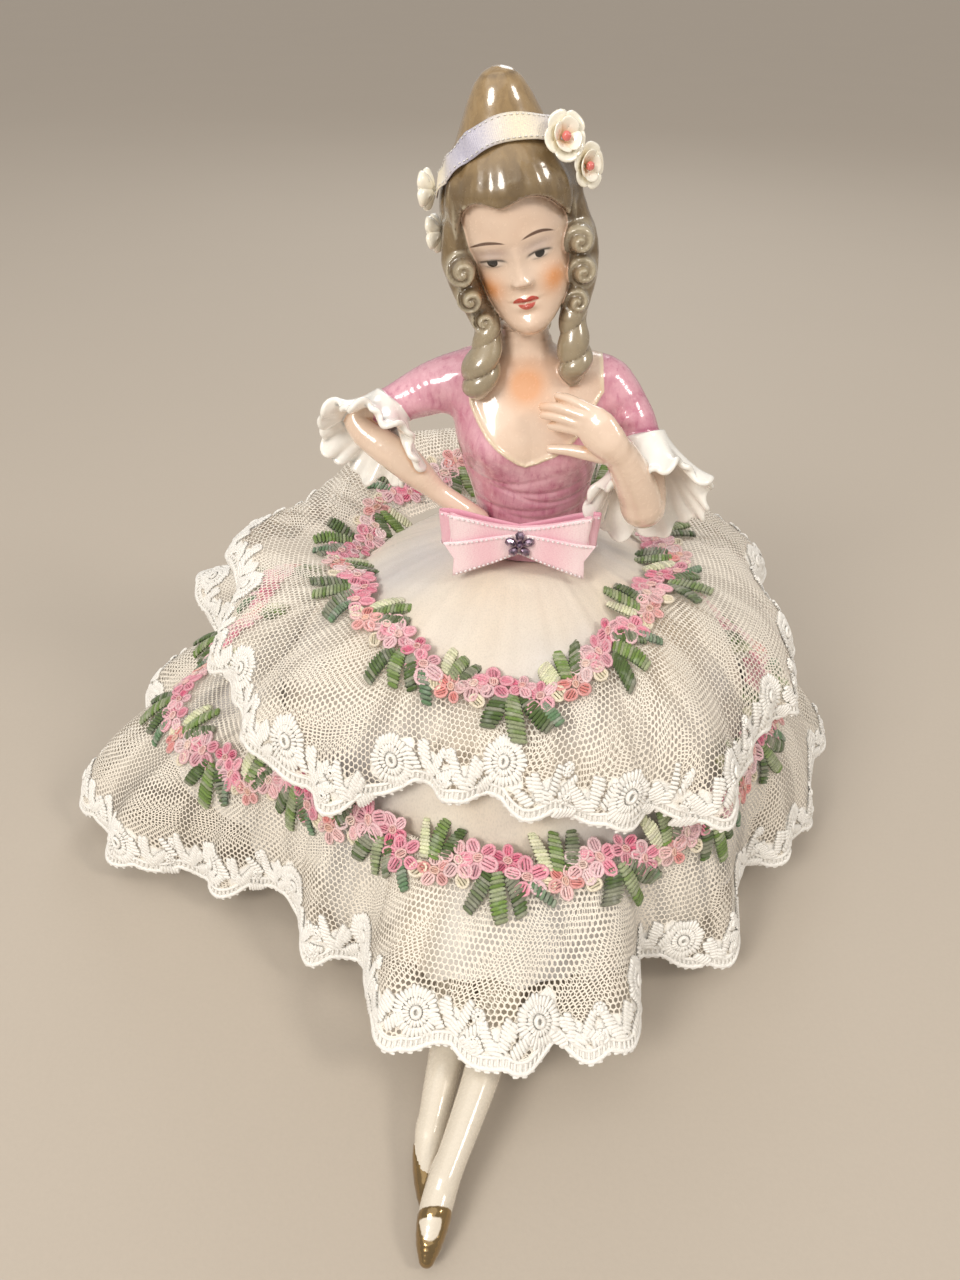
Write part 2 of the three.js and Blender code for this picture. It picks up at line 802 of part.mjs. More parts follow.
const LEG_SCALE = LEG_RADIUS / 6.2;
// Limb stations from inside the cushion to the toe: [x, y, height, radius]
const LEFT_LEG = [
  [-1.6, -62, 23, 6.4],
  [-2, -76, 20.5, 6],
  [-4, -90, 17.6, 5.2],
  [-7, -104, 14.6, 4.5],
  [-11.4, -117, 11.8, 3.8],
  [-15.4, -127.4, 9, 3.4],
  [-17, -132.4, 6.6, 3.7],
  [-18, -137.6, 4.4, 2.8],
  [-18.6, -141.6, 3, 1.6],
];
const RIGHT_LEG = [
  [-12, -62, 17, 6.2],
  [-13, -76, 15.6, 5.8],
  [-15, -92, 12.4, 4.8],
  [-17.4, -106, 9.4, 4],
  [-19.2, -116, 6.9, 3.4],
  [-19.6, -122, 5, 3.4],
  [-18.8, -129, 3.4, 2.7],
  [-17.6, -134, 2.4, 1.6],
];

function legs() {
  const sized = (stations) => stations.map(([x, y, z, r]) => [x, y - (CUSHION_RADIUS - 73), z, r * LEG_SCALE]);
  return limb(sized(LEFT_LEG), 10).add(limb(sized(RIGHT_LEG), 10)).subtract(cushion(GAP));
}

// Group and materials

const figure = new THREE.Group();
const doll = new THREE.Group();
doll.position.z = DOLL_BASE_Z;
figure.add(doll);

// Adds a solid as a named mesh of the given colour, in the given group.
function addPiece(name, s, color, roughness, parent = figure, metalness = 0) {
  const { numProp, vertProperties, triVerts } = s.getMesh();
  const geometry = new THREE.BufferGeometry();
  geometry.setAttribute("position", new THREE.BufferAttribute(new Float32Array(vertProperties), numProp));
  geometry.setIndex(new THREE.BufferAttribute(new Uint32Array(triVerts), 1));
  geometry.computeVertexNormals();
  const mesh = new THREE.Mesh(geometry, new THREE.MeshStandardMaterial({ color, roughness, metalness }));
  mesh.name = name;
  parent.add(mesh);
}

addPiece("half_doll", halfDoll(), PORCELAIN, 0.15, doll);
addPiece("hair_ribbon", hairRibbon(), PEARL_RIBBON, 0.45, doll);
for (const [name, ...place] of HAIR_FLOWERS) addPiece(name, hairFlower(...place), CREAM, 0.2, doll);
addPiece("waist_bow", bow(), BOW_PINK, 0.45, doll);
addPiece("bow_flower", gem(), LILAC_METAL, 0.25, doll, 0.9);
addPiece("cushion", cushion(), SATIN, 0.6);
addPiece("upper_ruffle", sheet(4, 72, upperLace, LACE_THICKNESS), LACE, 0.85);
addPiece("lower_ruffle", sheet(4, 72, lowerLace, LACE_THICKNESS), LACE, 0.85);
addPiece("lining_flounce", sheet(4, 36, lining, LINING_THICKNESS), SATIN, 0.7);
addPiece("upper_garland", garland(upperLace, UPPER_GARLAND, 1.7, 72, 18), BLOSSOM_PINK, 0.8);
addPiece("lower_garland", garland(lowerLace, LOWER_GARLAND, 0.6, 72, 24), BLOSSOM_PINK, 0.8);
addPiece("legs", legs(), PORCELAIN, 0.15);

export default figure;
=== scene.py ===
"""The looks of a porcelain half-doll on a lace-covered cushion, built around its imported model."""

import itertools
import math

import bpy
import numpy as np
from bpy.props import FloatProperty, FloatVectorProperty, IntProperty, PointerProperty
from mathutils import Matrix, Vector
from mathutils.bvhtree import BVHTree


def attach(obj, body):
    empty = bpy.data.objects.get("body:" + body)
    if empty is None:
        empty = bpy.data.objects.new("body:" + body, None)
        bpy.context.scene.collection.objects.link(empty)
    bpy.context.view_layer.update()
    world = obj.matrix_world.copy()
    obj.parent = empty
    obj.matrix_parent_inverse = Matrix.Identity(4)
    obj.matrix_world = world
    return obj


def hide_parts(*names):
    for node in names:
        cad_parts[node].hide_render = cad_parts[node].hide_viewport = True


bl_info = {
    "name": "Lace half-doll",
    "version": (1, 0, 0),
    "blender": (4, 5, 0),
    "location": "3D View > Sidebar > Half-doll",
    "description": "Glazed porcelain, gathered lace and embroidered garlands around the packed model",
    "category": "Add Mesh",
}

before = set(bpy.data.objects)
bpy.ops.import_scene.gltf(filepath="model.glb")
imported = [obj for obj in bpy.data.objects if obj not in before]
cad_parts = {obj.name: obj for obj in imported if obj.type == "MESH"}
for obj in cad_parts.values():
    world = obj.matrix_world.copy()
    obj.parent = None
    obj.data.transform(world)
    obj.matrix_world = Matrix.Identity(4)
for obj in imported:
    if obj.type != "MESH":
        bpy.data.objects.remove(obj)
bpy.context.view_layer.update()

MM = 0.001
SEED = 7

# Sizes shared with the solids, in millimetres
GAP = 0.3
CUSHION_RADIUS = 73.0
CUSHION_FOOT = 61.0
WIDEST_Z = 28.0
DOME_RISE = 72.8
SEAT_RADIUS = 19.0
SEAT_Z = WIDEST_Z + DOME_RISE * math.sqrt(1 - (SEAT_RADIUS / CUSHION_RADIUS) ** 2)
DOLL_BASE = np.array([0, 0, SEAT_Z + GAP])
CUSHION_MIDDLE = np.array([0, 0, 30.0])
DOLL_SCALE = 111.5 / 111.2  # the doll's own millimetres to the room's
HEAD_CENTRE = np.array([-4.6, -1.5, 73.4])
HEAD_BOW, HEAD_LEAN, HEAD_TURN = math.radians(4), math.radians(-9), math.radians(6)
FACE_LEAN = math.radians(7)  # the face leans a little more than the dressed hair
FACE_MIDDLE = -0.65
KNOT = np.array([-1.4, -15.6, 9.4])


def smooth(x):
    """Eases from 0 to 1 as x does."""
    x = np.clip(x, 0, 1)
    return x * x * (3 - 2 * x)


def bell(x, width):
    """1 at 0, falling off smoothly to both sides."""
    return np.exp(-((x / width) ** 2))


def mix(a, b, share):
    """A share of the way from a to b."""
    return a + (b - a) * share


def spans(pairs, x, column=1):
    """The two rows of a table around each x, and the share of the way between them."""
    at = np.array([row[0] for row in pairs], float)
    value = np.array([row[column] for row in pairs], float)
    x = np.clip(x, at[0], at[-1])
    i = np.clip(np.searchsorted(at, x, side="right") - 1, 0, len(at) - 2)
    return at, value, i, (x - at[i]) / (at[i + 1] - at[i])


def along(pairs, x, column=1):
    """Value of a table at x, eased from row to row as in the solids."""
    _, value, i, s = spans(pairs, x, column)
    return value[i] + (value[i + 1] - value[i]) * (1 - np.cos(np.pi * s)) / 2


def flow(pairs, x, column=1):
    """Value of a table at x on one smooth line through its rows."""
    at, value, i, s = spans(pairs, x, column)
    slope = np.gradient(value, at)
    step = at[i + 1] - at[i]
    a, b = value[i], value[i + 1]
    return (
        a * (1 + 2 * s) * (1 - s) ** 2
        + b * s * s * (3 - 2 * s)
        + step * slope[i] * s * (1 - s) ** 2
        - step * slope[i + 1] * s * s * (1 - s)
    )


def steepness(pairs, x, column=1, step=0.4):
    """How steeply the smooth line of a table runs at x."""
    return (flow(pairs, x + step, column) - flow(pairs, x - step, column)) / (2 * step)


def run_along(points):
    """How far along a line each of its points lies."""
    return np.concatenate([[0], np.cumsum(np.linalg.norm(np.diff(points, axis=0), axis=1))])


BETWEEN = 3  # pieces a limb is cut into from station to station


def refined(stations):
    """Stations of a limb with more between them on the same smooth line."""
    rows = np.array(stations, float)
    at = run_along(rows[:, :3])
    runs = [np.linspace(a, b, BETWEEN, endpoint=False) for a, b in zip(at[:-1], at[1:])]
    x = np.concatenate([*runs, at[-1:]])
    table = [(s, *row) for s, row in zip(at, rows)]
    return np.stack([flow(table, x, k + 1) for k in range(rows.shape[1])], 1)


def unit(v):
    """Vectors brought to length 1."""
    return v / np.maximum(np.linalg.norm(v, axis=-1, keepdims=True), 1e-9)


# Distances to the porcelain shapes

FAR = 3.0  # what a point far from a shape is given
MARGIN = 2.4  # how far outside its box a shape's distance is still worked out


def joined(a, b, k):
    """Union of two distances with a fillet of about k."""
    h = np.maximum(k - np.abs(a - b), 0) / k
    return np.minimum(a, b) - h * h * k / 4


def within(points, low, high, shape):
    """Distances worked out only near a box, and FAR elsewhere."""
    d = np.full(len(points), FAR)
    near = ((points > np.array(low) - MARGIN) & (points < np.array(high) + MARGIN)).all(1)
    if near.any():
        d[near] = np.minimum(shape(points[near]), FAR)
    return d


def limb(points, stations):
    """Distance to a round limb through stations x, y, z, radius."""
    rows = refined(stations)
    centre, radius = rows[:, :3], rows[:, 3]

    def shape(p):
        d = np.full(len(p), FAR)
        for a, b, ra, rb in zip(centre[:-1], centre[1:], radius[:-1], radius[1:]):
            ba = b - a
            pa = p - a
            h = np.clip(pa @ ba / (ba @ ba), 0, 1)
            d = np.minimum(d, np.linalg.norm(pa - h[:, None] * ba, axis=1) - (ra + (rb - ra) * h))
        return d

    reach = radius.max()
    return within(points, centre.min(0) - reach, centre.max(0) + reach, shape)


def oval(x, y, wide, deep):
    """Distance to an ellipse, near it."""
    k0 = np.hypot(x / wide, y / deep)
    k1 = np.hypot(x / wide**2, y / deep**2)
    return k0 * (k0 - 1) / np.maximum(k1, 1e-6)


def stacked(p, table):
    """Distance to ovals stacked up Z, from rows of height, half width, front and back."""
    z = p[:, 2]
    wide, front, back = (flow(table, z, k) for k in (1, 2, 3))
    slope = steepness(table, z, step=0.3)
    d = oval(p[:, 0], p[:, 1] - (front + back) / 2, wide, (back - front) / 2) / np.sqrt(1 + slope**2)
    return np.maximum(d, np.maximum(table[0][0] - z, z - table[-1][0]))


def turned(bow, lean, turn):
    """Rotation about X, then Y, then Z."""
    about = Matrix.Rotation
    return np.array(about(turn, 3, "Z") @ about(lean, 3, "Y") @ about(bow, 3, "X"))


HEAD_AXES = turned(HEAD_BOW, HEAD_LEAN, HEAD_TURN)


def on_doll(p):
    """From the doll's own axes to the room's."""
    return p * DOLL_SCALE + DOLL_BASE


def to_head(p):
    """From the doll's axes to the head's."""
    return (p - HEAD_CENTRE) @ HEAD_AXES


def from_head(q):
    """From the head's axes to the doll's."""
    return q @ HEAD_AXES.T + HEAD_CENTRE


def to_face(q):
    """The head's axes turned to the face: x across it from its middle line, z up it."""
    x, z = q[:, 0] - FACE_MIDDLE, q[:, 2]
    c, s = math.cos(FACE_LEAN), math.sin(FACE_LEAN)
    return np.stack([x * c + z * s, q[:, 1], z * c - x * s], 1)


# The head without hair: height, half width, front, back
HEAD = [
    (-13.8, 1.2, -10.2, -5.6),
    (-13.3, 3.2, -11.4, -3.6),
    (-12.3, 4.9, -12.2, -1.0),
    (-10.6, 6.6, -12.6, 1.6),
    (-8.4, 8.1, -12.5, 4.4),
    (-5.6, 9.4, -12.2, 7.2),
    (-2, 10.1, -12.2, 9.6),
    (2.2, 10.9, -12.2, 10.8),
    (5, 11.6, -12.7, 11),
    (10, 11.6, -13.2, 11),
    (14, 11.0, -13.0, 10.5),
    (17, 10, -12.0, 10),
    (20, 8, -9, 8),
    (22, 5, -5, 5),
]
# How far the head's outline lies beside the features' middle line: height, distance
FACE_SHIFT = [
    (-14, 0.3), (-11, 0.9), (-8, 1.6), (-3, 2.1), (4, 1.9), (12, 1.4), (22, 0.5),
]
# How far the nose stands out along its ridge: height, distance
NOSE = [
    (-2.5, 0), (-1.8, 0.9), (-1.1, 2.2), (-0.3, 2.35), (0.9, 1.8), (2.6, 1.15), (4.6, 0.6), (7, 0),
]


def face_relief(x, z):
    """How far the features stand out of the head's ovals."""
    s = np.abs(x)
    nose = flow(NOSE, z) * bell(x, 1.35 + 0.12 * (4 - z).clip(0, 5))
    nose += 0.7 * bell(s - 1.6, 0.75) * bell(z + 1.0, 0.85)
    eyes = -1.0 * bell(s - 4.6, 3.0) * bell(z - 3.8, 2.3) + 0.95 * bell(s - 5.1, 2.2) * bell(z - 3.8, 1.35)
    lids = 0.22 * bell(s - 5.1, 2.6) * bell(z - 5.3 + 0.06 * (s - 5.1) ** 2, 0.5)
    brow = 0.35 * bell(s - 5, 3.6) * bell(z - 7.9, 1.6)
    cheeks = 0.55 * bell(s - 6.3, 3.0) * bell(z + 1.4, 3.4)
    lips = 0.75 * bell(x, 2.5) * bell(z + 4.75, 0.7) + 0.95 * bell(x, 1.9) * bell(z + 6.3, 0.85)
    lips -= 0.4 * bell(x, 2.9) * bell(z + 5.45, 0.4) + 0.35 * bell(x, 2.4) * bell(z + 8, 0.8)
    chin = 0.9 * bell(x, 3.0) * bell(z + 10.8, 2.0)
    return nose + eyes + lids + brow + cheeks + lips + chin


def head_distance(q):
    """Head without hair, in the head's axes."""

    def shape(q):
        f = to_face(q)
        relief = face_relief(f[:, 0], f[:, 2]) * smooth(-f[:, 1] / 5) * 0.92
        f[:, 0] -= flow(FACE_SHIFT, f[:, 2])
        return stacked(f, HEAD) - relief

    return within(q, (-13, -17, -16), (13, 13, 22), shape)


# Outline of the dressed hair: height from the head's centre, half width, front, back
HAIR = [
    (-9, 7.4, -1, 9),
    (-7, 9.4, -3, 10.5),
    (-1, 12.6, -6.4, 13.2),
    (5, 14.6, -9.6, 14.6),
    (10, 15.4, -12.8, 14.8),
    (14, 15.3, -14.4, 14.3),
    (18, 14.2, -14.6, 13.4),
    (22, 12.4, -12.4, 11.6),
    (26, 10.2, -9.2, 9.6),
    (30, 8.2, -7, 7.6),
    (34, 6.2, -5.4, 5.8),
    (36.6, 4.3, -3.8, 4.2),
    (38.0, 2.4, -2.2, 2.4),
    (38.5, 1.0, -0.9, 1.0),
]
# Lower edge of the hair over the forehead: distance across, height
HAIRLINE = [
    (-13.4, -14), (-12.5, 6), (-11.7, 12.2), (-10.6, 14.4), (-8.5, 15.9), (-6.1, 15.5),
    (-3.7, 14.8), (-1, 15.6), (2.2, 16.5), (4.8, 16.1), (6.9, 15), (9.1, 12.8), (11, 10),
    (12.4, 5), (13.4, -14),
]
# Roll curls beside the face: middle of the open end, middle behind, radius, turn of the spiral
CURLS = [
    ((-13.0, -6.6, 1.8), (-13.6, 2, 2.4), 3.2, 1),
    ((-12.0, -7.0, -4.6), (-12, 0, -4.2), 2.8, 1),
    ((-9.6, -6.6, -10.2), (-9.6, -1, -9.4), 2.5, 1),
    ((13.4, -6.8, 4.4), (14.0, 2, 4.4), 3.3, -1),
    ((13.8, -6.0, -2.6), (13.8, 1, -3.0), 3.3, -1),
    ((12.0, -6.0, -9.2), (12.0, -1, -9.4), 2.9, -1),
]
# Ringlets in the head's axes, from the bottom up: stations x, y, z, radius
RINGLETS = [
    [
        (-13.2, -9.6, -27.6, 1.2), (-13.0, -9.4, -26, 3.0), (-12.4, -9.0, -22.8, 4.4),
        (-11.2, -8.2, -19, 4.4), (-9.6, -7.2, -15, 3.4), (-8.6, -6.8, -12.2, 2.8),
        (-8.2, -6.2, -9.5, 1.6),
    ],
    [
        (9.4, -9.6, -28, 1.0), (9.8, -9.2, -26, 2.6), (10.2, -8.8, -23, 3.9),
        (10.6, -7.8, -19, 3.7), (10.6, -6.8, -14.8, 3.1), (11, -6, -11.4, 2.6),
        (11.2, -5, -9, 1.6),
    ],
    [
        (-4.8, 9.4, -23, 0.8), (-4.8, 9.4, -21, 2.4), (-4.4, 10.2, -12, 3.9), (-4, 9.4, -4, 4.4),
        (-4, 8.4, 0, 2),
    ],
    [
        (5, 9.4, -23, 0.8), (5, 9.4, -21, 2.4), (4.8, 10.2, -12, 3.9), (4, 9.4, -4, 4.4),
        (4, 8.4, 0, 2),
    ],
    [
        (0.2, 10.4, -21, 0.8), (0.2, 10.6, -19, 2.6), (0.2, 11.6, -11, 3.9), (0, 11, -3, 4.2),
        (0, 9.6, 1, 2),
    ],
]
# The hair behind the curls, from the temples down beside the neck: stations x, y, z, radius
SIDE_HAIR = [
    [
        (-12.4, -2.8, 9, 3.4), (-13.2, -2.9, 3, 3.8), (-12.2, -3.0, -4, 3.3),
        (-9.8, -3.8, -10, 2.9), (-8.6, -5.2, -15, 2.6),
    ],
    [
        (13.0, -2.0, 9, 3.4), (14.4, -2.4, 2, 3.9), (13.9, -2.8, -5, 3.7), (12.0, -3.6, -11, 3.3),
        (10.8, -5.2, -16, 2.8),
    ],
]


CURL_RELIEF = 0.6  # room for the relief of a curl or ringlet outside its radius


def curl(q, mouth, root, radius, way):
    """A roll of hair whose open end shows a spiral."""
    mouth, root = np.array(mouth), np.array(root)

    def shape(p):
        axis = root - mouth
        h = np.clip((p - mouth) @ axis / (axis @ axis), 0, 1)
        off = p - mouth - h[:, None] * axis
        d = np.linalg.norm(off, axis=1) - radius
        rho = np.hypot(off[:, 0], off[:, 2])
        angle = np.arctan2(off[:, 2], off[:, 0]) * way
        open_end = smooth((mouth[1] + 0.8 - p[:, 1]) / 1.6) * smooth(rho / 0.9)
        rolled = np.cos(angle + 2 * np.pi * rho / (0.72 * radius))
        ribs = np.cos(3 * angle + 1.4 * (p[:, 1] - mouth[1])) * smooth((p[:, 1] - mouth[1]) / 1.5)
        return d - 0.4 * open_end * rolled - 0.14 * ribs

    reach = radius + CURL_RELIEF
    return within(q, np.minimum(mouth, root) - reach, np.maximum(mouth, root) + reach, shape)


def ringlet(q, stations):
    """A hanging ringlet with a groove winding down it."""
    rows = [(z, x, y, r) for x, y, z, r in stations]
    x, y, z, r = np.array(stations, float).T

    def shape(p):
        z = p[:, 2]
        x, y, r = (flow(rows, z, k) for k in (1, 2, 3))
        dx, dy = p[:, 0] - x, p[:, 1] - y
        wind = np.arctan2(dy, dx) - 2 * np.pi * z / 6.4
        groove = 0.24 * r * (np.abs(np.sin(wind / 2)) ** 0.8 - 0.62)
        d = (np.hypot(dx, dy) - r - groove) * 0.9
        return np.maximum(d, np.maximum(rows[0][0] - z, z - rows[-1][0]))

    low = np.array([(x - r).min(), (y - r).min(), z[0]]) - CURL_RELIEF
    high = np.array([(x + r).max(), (y + r).max(), z[-1]]) + CURL_RELIEF
    return within(q, low, high, shape)


def hair_mass(p):
    """Distance to the hair swept up over the head, cut off at the hairline in front."""
    x, y, z = p.T
    azimuth = np.arctan2(x, -y)
    steep = steepness(HAIRLINE, x)
    lift = smooth((flow(HAIRLINE, x) - z) / np.sqrt(1 + steep**2) / 1.8 + 0.5)
    front = smooth(-(y + 1.5) / 3)
    rolls = np.cos(10 * azimuth + z / 3.2 + 1.2 * np.sin(z / 5)) * smooth((27 - z) / 6)
    rolls = rolls * smooth((np.abs(azimuth) - 0.75) / 0.4)
    strands = np.cos(26 * azimuth + z / 6) * smooth((26 - z) / 5)
    return stacked(p, HAIR) + 4.2 * lift * front - 0.42 * rolls - 0.06 * strands


def hair_distance(q):
    """Distance to all the hair: the mass, the side hair, the curls and the ringlets."""
    d = within(q, (-16, -16, -10), (16, 16, 39), hair_mass)
    for stations in SIDE_HAIR:
        d = joined(d, limb(q, stations), 1.6)
    for c in CURLS:
        d = joined(d, curl(q, *c), 1.5)
    for stations in RINGLETS:
        d = joined(d, ringlet(q, stations), 1.0)
    return d


# Bodice and chest: height, centre x, half width, half depth, centre y
TORSO = [
    (-0.2, 2, 16.6, 12.4, 0),
    (0, 2, 16.6, 12.4, 0),
    (5, 2, 15.2, 11.4, 0),
    (10, 1.8, 14.2, 10.5, 0),
    (17, 1.4, 15.3, 11.3, -0.4),
    (24, 0.9, 17, 12.4, -0.8),
    (31, 0.5, 18.4, 13.2, -1.2),
    (37, 0.2, 19, 12.6, -0.8),
    (43, 0, 20, 10.6, 0),
    (47, -0.3, 18.4, 9.2, 0.4),
    (50.5, -1.2, 12.6, 7.8, 0.6),
    (53, -1.8, 7.6, 6.8, 0.4),
    (56, -2, 5.6, 5.6, 0.2),
]
# The neckline in front, from the doll's right shoulder down and up again: x, height
NECKLINE = [
    (-13, 60), (-13, 52), (-14.2, 48.2), (-14.4, 44.4), (-13.8, 41.4), (-12.2, 38.6), (-9.9, 35.7),
    (-7.1, 33.2), (-4.3, 31.1), (-2.3, 29.6), (-0.7, 28.9), (1.4, 29.7), (3.4, 31.0), (5.7, 32.2),
    (9, 34.6), (12.5, 38), (15, 41.5), (16.8, 44.8), (16.4, 48.5), (16.4, 52), (17, 60),
]
BACK_NECKLINE = 45.5
# Creases over the waist: height, bend, middle, depth, width
CREASES = [
    (19.6, 0.016, 0, 0.5, 0.8), (16.8, 0.03, 5, 0.42, 0.7), (22.4, 0.022, -6, 0.3, 0.8),
    (14, 0.012, -3, 0.34, 0.8), (11.6, 0.02, 2, 0.3, 0.7),
]


def beyond_neckline(p):
    """Distance past the neckline, positive on the gown."""
    x, z = p[:, 0], p[:, 2]
    line = np.array(NECKLINE, float)
    far = np.full(len(p), 99.0)
    inside = np.zeros(len(p), bool)
    for (ax, az), (bx, bz) in zip(line[:-1], line[1:]):
        ux, uz = bx - ax, bz - az
        h = np.clip(((x - ax) * ux + (z - az) * uz) / (ux * ux + uz * uz), 0, 1)
        far = np.minimum(far, np.hypot(x - ax - h * ux, z - az - h * uz))
        crosses = (az > z) != (bz > z)
        inside ^= crosses & (x < ax + (z - az) / np.where(uz == 0, 1e-9, uz) * ux)
    front = np.where(inside, -far, far)
    back = BACK_NECKLINE + 0.012 * x**2 - z
    return mix(front, back, smooth((p[:, 1] - 1) / 5))


def torso_distance(points):
    """Distance to the bodice and chest, with the gown a little proud of the skin."""

    def shape(p):
        z = p[:, 2]
        x, wide, deep, y = (flow(TORSO, z, k) for k in (1, 2, 3, 4))
        dx, dy = p[:, 0] - x, p[:, 1] - y
        around = dx / wide / np.maximum(np.hypot(dx / wide, dy / deep), 1e-6)
        bust = 3 * bell(z - 31.5, 6.6) * bell(np.abs(around) - 0.48, 0.3) * smooth(-dy / 6)
        slope = steepness(TORSO, z, 2)
        d = oval(dx, dy, wide, deep) / np.sqrt(1 + slope**2) - bust
        past = beyond_neckline(p)
        d -= 0.32 * smooth(past / 0.5 + 0.4) + 0.5 * bell(past - 0.25, 0.55)
        for height, bend, middle, depth, width in CREASES:
            crease = bell(z - height - bend * (dx - middle) ** 2, width)
            d += depth * crease * smooth(1.1 - np.abs(dx - middle) / 16)
        return np.maximum(d, np.maximum(-z, z - 55))

    return within(points, (-24, -18, -1), (24, 15, 56), shape)


# Sleeves, arms, hands and neck: stations x, y, z, radius
RIGHT_SLEEVE = [
    (-13, 0.8, 44.6, 7.2), (-19, 0.9, 43.1, 7.0), (-24, 0.7, 41.4, 6.5), (-29, 0.3, 39.4, 5.6),
    (-33, -0.6, 37.8, 4.9), (-36, -1.2, 36.6, 4.5),
]
LEFT_SLEEVE = [
    (14, 0.8, 45, 6.8), (18.9, 0, 43.8, 6.6), (20.9, -1.0, 42.2, 6.2), (23.3, -2.6, 39.7, 5.8),
    (25.6, -4.3, 36.6, 5.4), (27.6, -6.3, 32.8, 5.1),
]
# Each sleeve with the armpit its folds run out of, and its side
SLEEVES = [(RIGHT_SLEEVE, (-17, -6, 33), -1), (LEFT_SLEEVE, (18, -8, 33), 1)]
RIGHT_FOREARM = [
    (-34, -1, 37.6, 4.0), (-39.5, -1.6, 36.9, 3.6), (-42.6, -2.9, 34.8, 3.5),
    (-41.4, -4.4, 32.6, 3.6), (-37.0, -6.6, 29.8, 4.1), (-33.2, -7.7, 27.5, 4.3),
    (-29.7, -8.5, 25.0, 4.2), (-27.2, -9.0, 22.8, 3.8), (-24.9, -9.3, 20.7, 3.2),
    (-22.4, -9.5, 18.4, 2.8), (-19.3, -9.7, 16.1, 2.8), (-15.6, -10.0, 13.4, 3.0),
    (-12, -9.6, 10.6, 3.0),
]
LEFT_FOREARM = [
    (27.7, -7.6, 31.0, 4.6), (29.5, -11.0, 23.8, 4.9), (29.6, -13.6, 17.6, 5.2),
    (28.6, -15.4, 18.6, 5.2), (27.4, -16.6, 22.2, 5.1), (25.6, -18.0, 26.4, 4.9),
    (23.2, -19.6, 31.3, 4.4), (20.7, -20.8, 35.4, 3.9), (18.3, -21.6, 38.2, 3.6),
]
PALM = [
    (18.5, -21.8, 38.1, 3.7), (16.2, -21.6, 40.0, 4.7), (14.6, -20.9, 41.6, 4.5),
    (13.4, -20.1, 42.2, 3.5),
]
PALM_FACING = unit(np.array([-0.35, -0.9, 0.2]))
FINGERS = [
    [(15.0, -20.3, 44.5, 1.6), (10.9, -18.1, 45.8, 1.35), (8.0, -16.2, 46.4, 1.2), (5.9, -15.0, 46.5, 0.95)],
    [(14.4, -20.7, 43.2, 1.6), (9.6, -18.7, 44.1, 1.35), (5.5, -16.6, 44.5, 1.2), (2.4, -15.2, 44.0, 0.95)],
    [(14.0, -20.8, 41.6, 1.6), (9.1, -18.8, 42.1, 1.35), (5.4, -17.0, 42.4, 1.2), (2.7, -15.8, 42.2, 0.95)],
    [(13.8, -20.6, 40.0, 1.55), (9.4, -18.9, 40.2, 1.3), (6.7, -17.6, 40.1, 1.2), (4.7, -16.7, 39.9, 0.95)],
    [(16.4, -20.6, 34.8, 2.2), (12.9, -19.6, 34.6, 1.7), (9.0, -18.4, 34.7, 1.4), (4.8, -17.3, 34.3, 1.05)],
]
HIP_FINGERS = [
    [(-13, -10.6, 9.6, 1.5), (-9, -12.4, 8.6, 1.3), (-5.4, -12.8, 8, 0.9)],
    [(-13.4, -10.4, 7.2, 1.5), (-9.6, -12.4, 6, 1.3), (-6.4, -13, 5.4, 0.9)],
    [(-14, -10, 5.2, 1.4), (-10.6, -12, 3.8, 1.2), (-8, -12.8, 3.2, 0.9)],
]
NECK = [
    (-1.6, 0.6, 47, 7.4), (-1.8, 0.3, 51, 6.4), (-2.1, -0.2, 56, 5.9), (-2.8, -1.2, 62, 6.2),
]
CUFF_WALL = 1.45
# Cuffs: middle, radius and axis of the throat, the same of the mouth, and where the flutes start
CUFFS = [
    ((-33.9, -1.2, 38.0), 4.7, (-0.62, -0.35, -0.7), (-39.4, -9.3, 30.2), 13.0, (-0.33, -0.86, -0.39), 0.4),
    ((28.1, -6.8, 33.1), 5.2, (0.25, -0.5, -0.83), (31.0, -13.3, 18.6), 15.0, (0.08, -0.88, -0.47), 1.3),
]
FLUTES = 7
FRILLS = 17  # small waves of the rim
CUFF_MESH = (36, 360)  # points down a cuff and round it


def cuff_surface(cuff, t, a):
    """Points of a cuff, t from throat to rim and a round it; its flutes grow and roll over."""
    throat, narrow, inward, mouth, wide, outward, phase = cuff
    throat, mouth = np.array(throat), np.array(mouth)
    t, a = np.asarray(t)[..., None], np.asarray(a)[..., None]
    w = unit(mix(unit(np.array(inward)), unit(np.array(outward)), t))
    u = unit(np.array([0, 0, 1.0]) - w * w[..., 2:])
    v = np.cross(w, u)
    turn = FLUTES * a + phase + 0.7 * np.sin(2 * a)
    grown = t**1.4
    frill = FRILLS * a + 2.1 * phase + 0.9 * np.sin(3 * a)
    radius = mix(narrow, wide, t**1.3) + 0.95 * grown * np.cos(turn) + 0.55 * t**5 * np.cos(frill)
    forward = 1.5 * grown * np.sin(turn) + 0.75 * t**4 * np.sin(frill)
    forward = forward - 1.6 * np.maximum(t - 0.75, 0)
    return mix(throat, mouth, t) + (u * np.cos(a) + v * np.sin(a)) * radius + w * forward


def cuff_tree(cuff):
    """A search tree over the middle surface of a cuff, and the box it matters in."""
    down, round_it = CUFF_MESH
    t, a = np.meshgrid(
        np.linspace(0, 1, down), np.linspace(0, 2 * np.pi, round_it, endpoint=False), indexing="ij"
    )
    points = cuff_surface(cuff, t, a).reshape(-1, 3)
    faces = grid_faces(down, round_it, columns_closed=True)
    tree = BVHTree.FromPolygons(points.tolist(), faces.tolist())
    return tree, points.min(0) - FAR, points.max(0) + FAR


CUFF_TREES = []


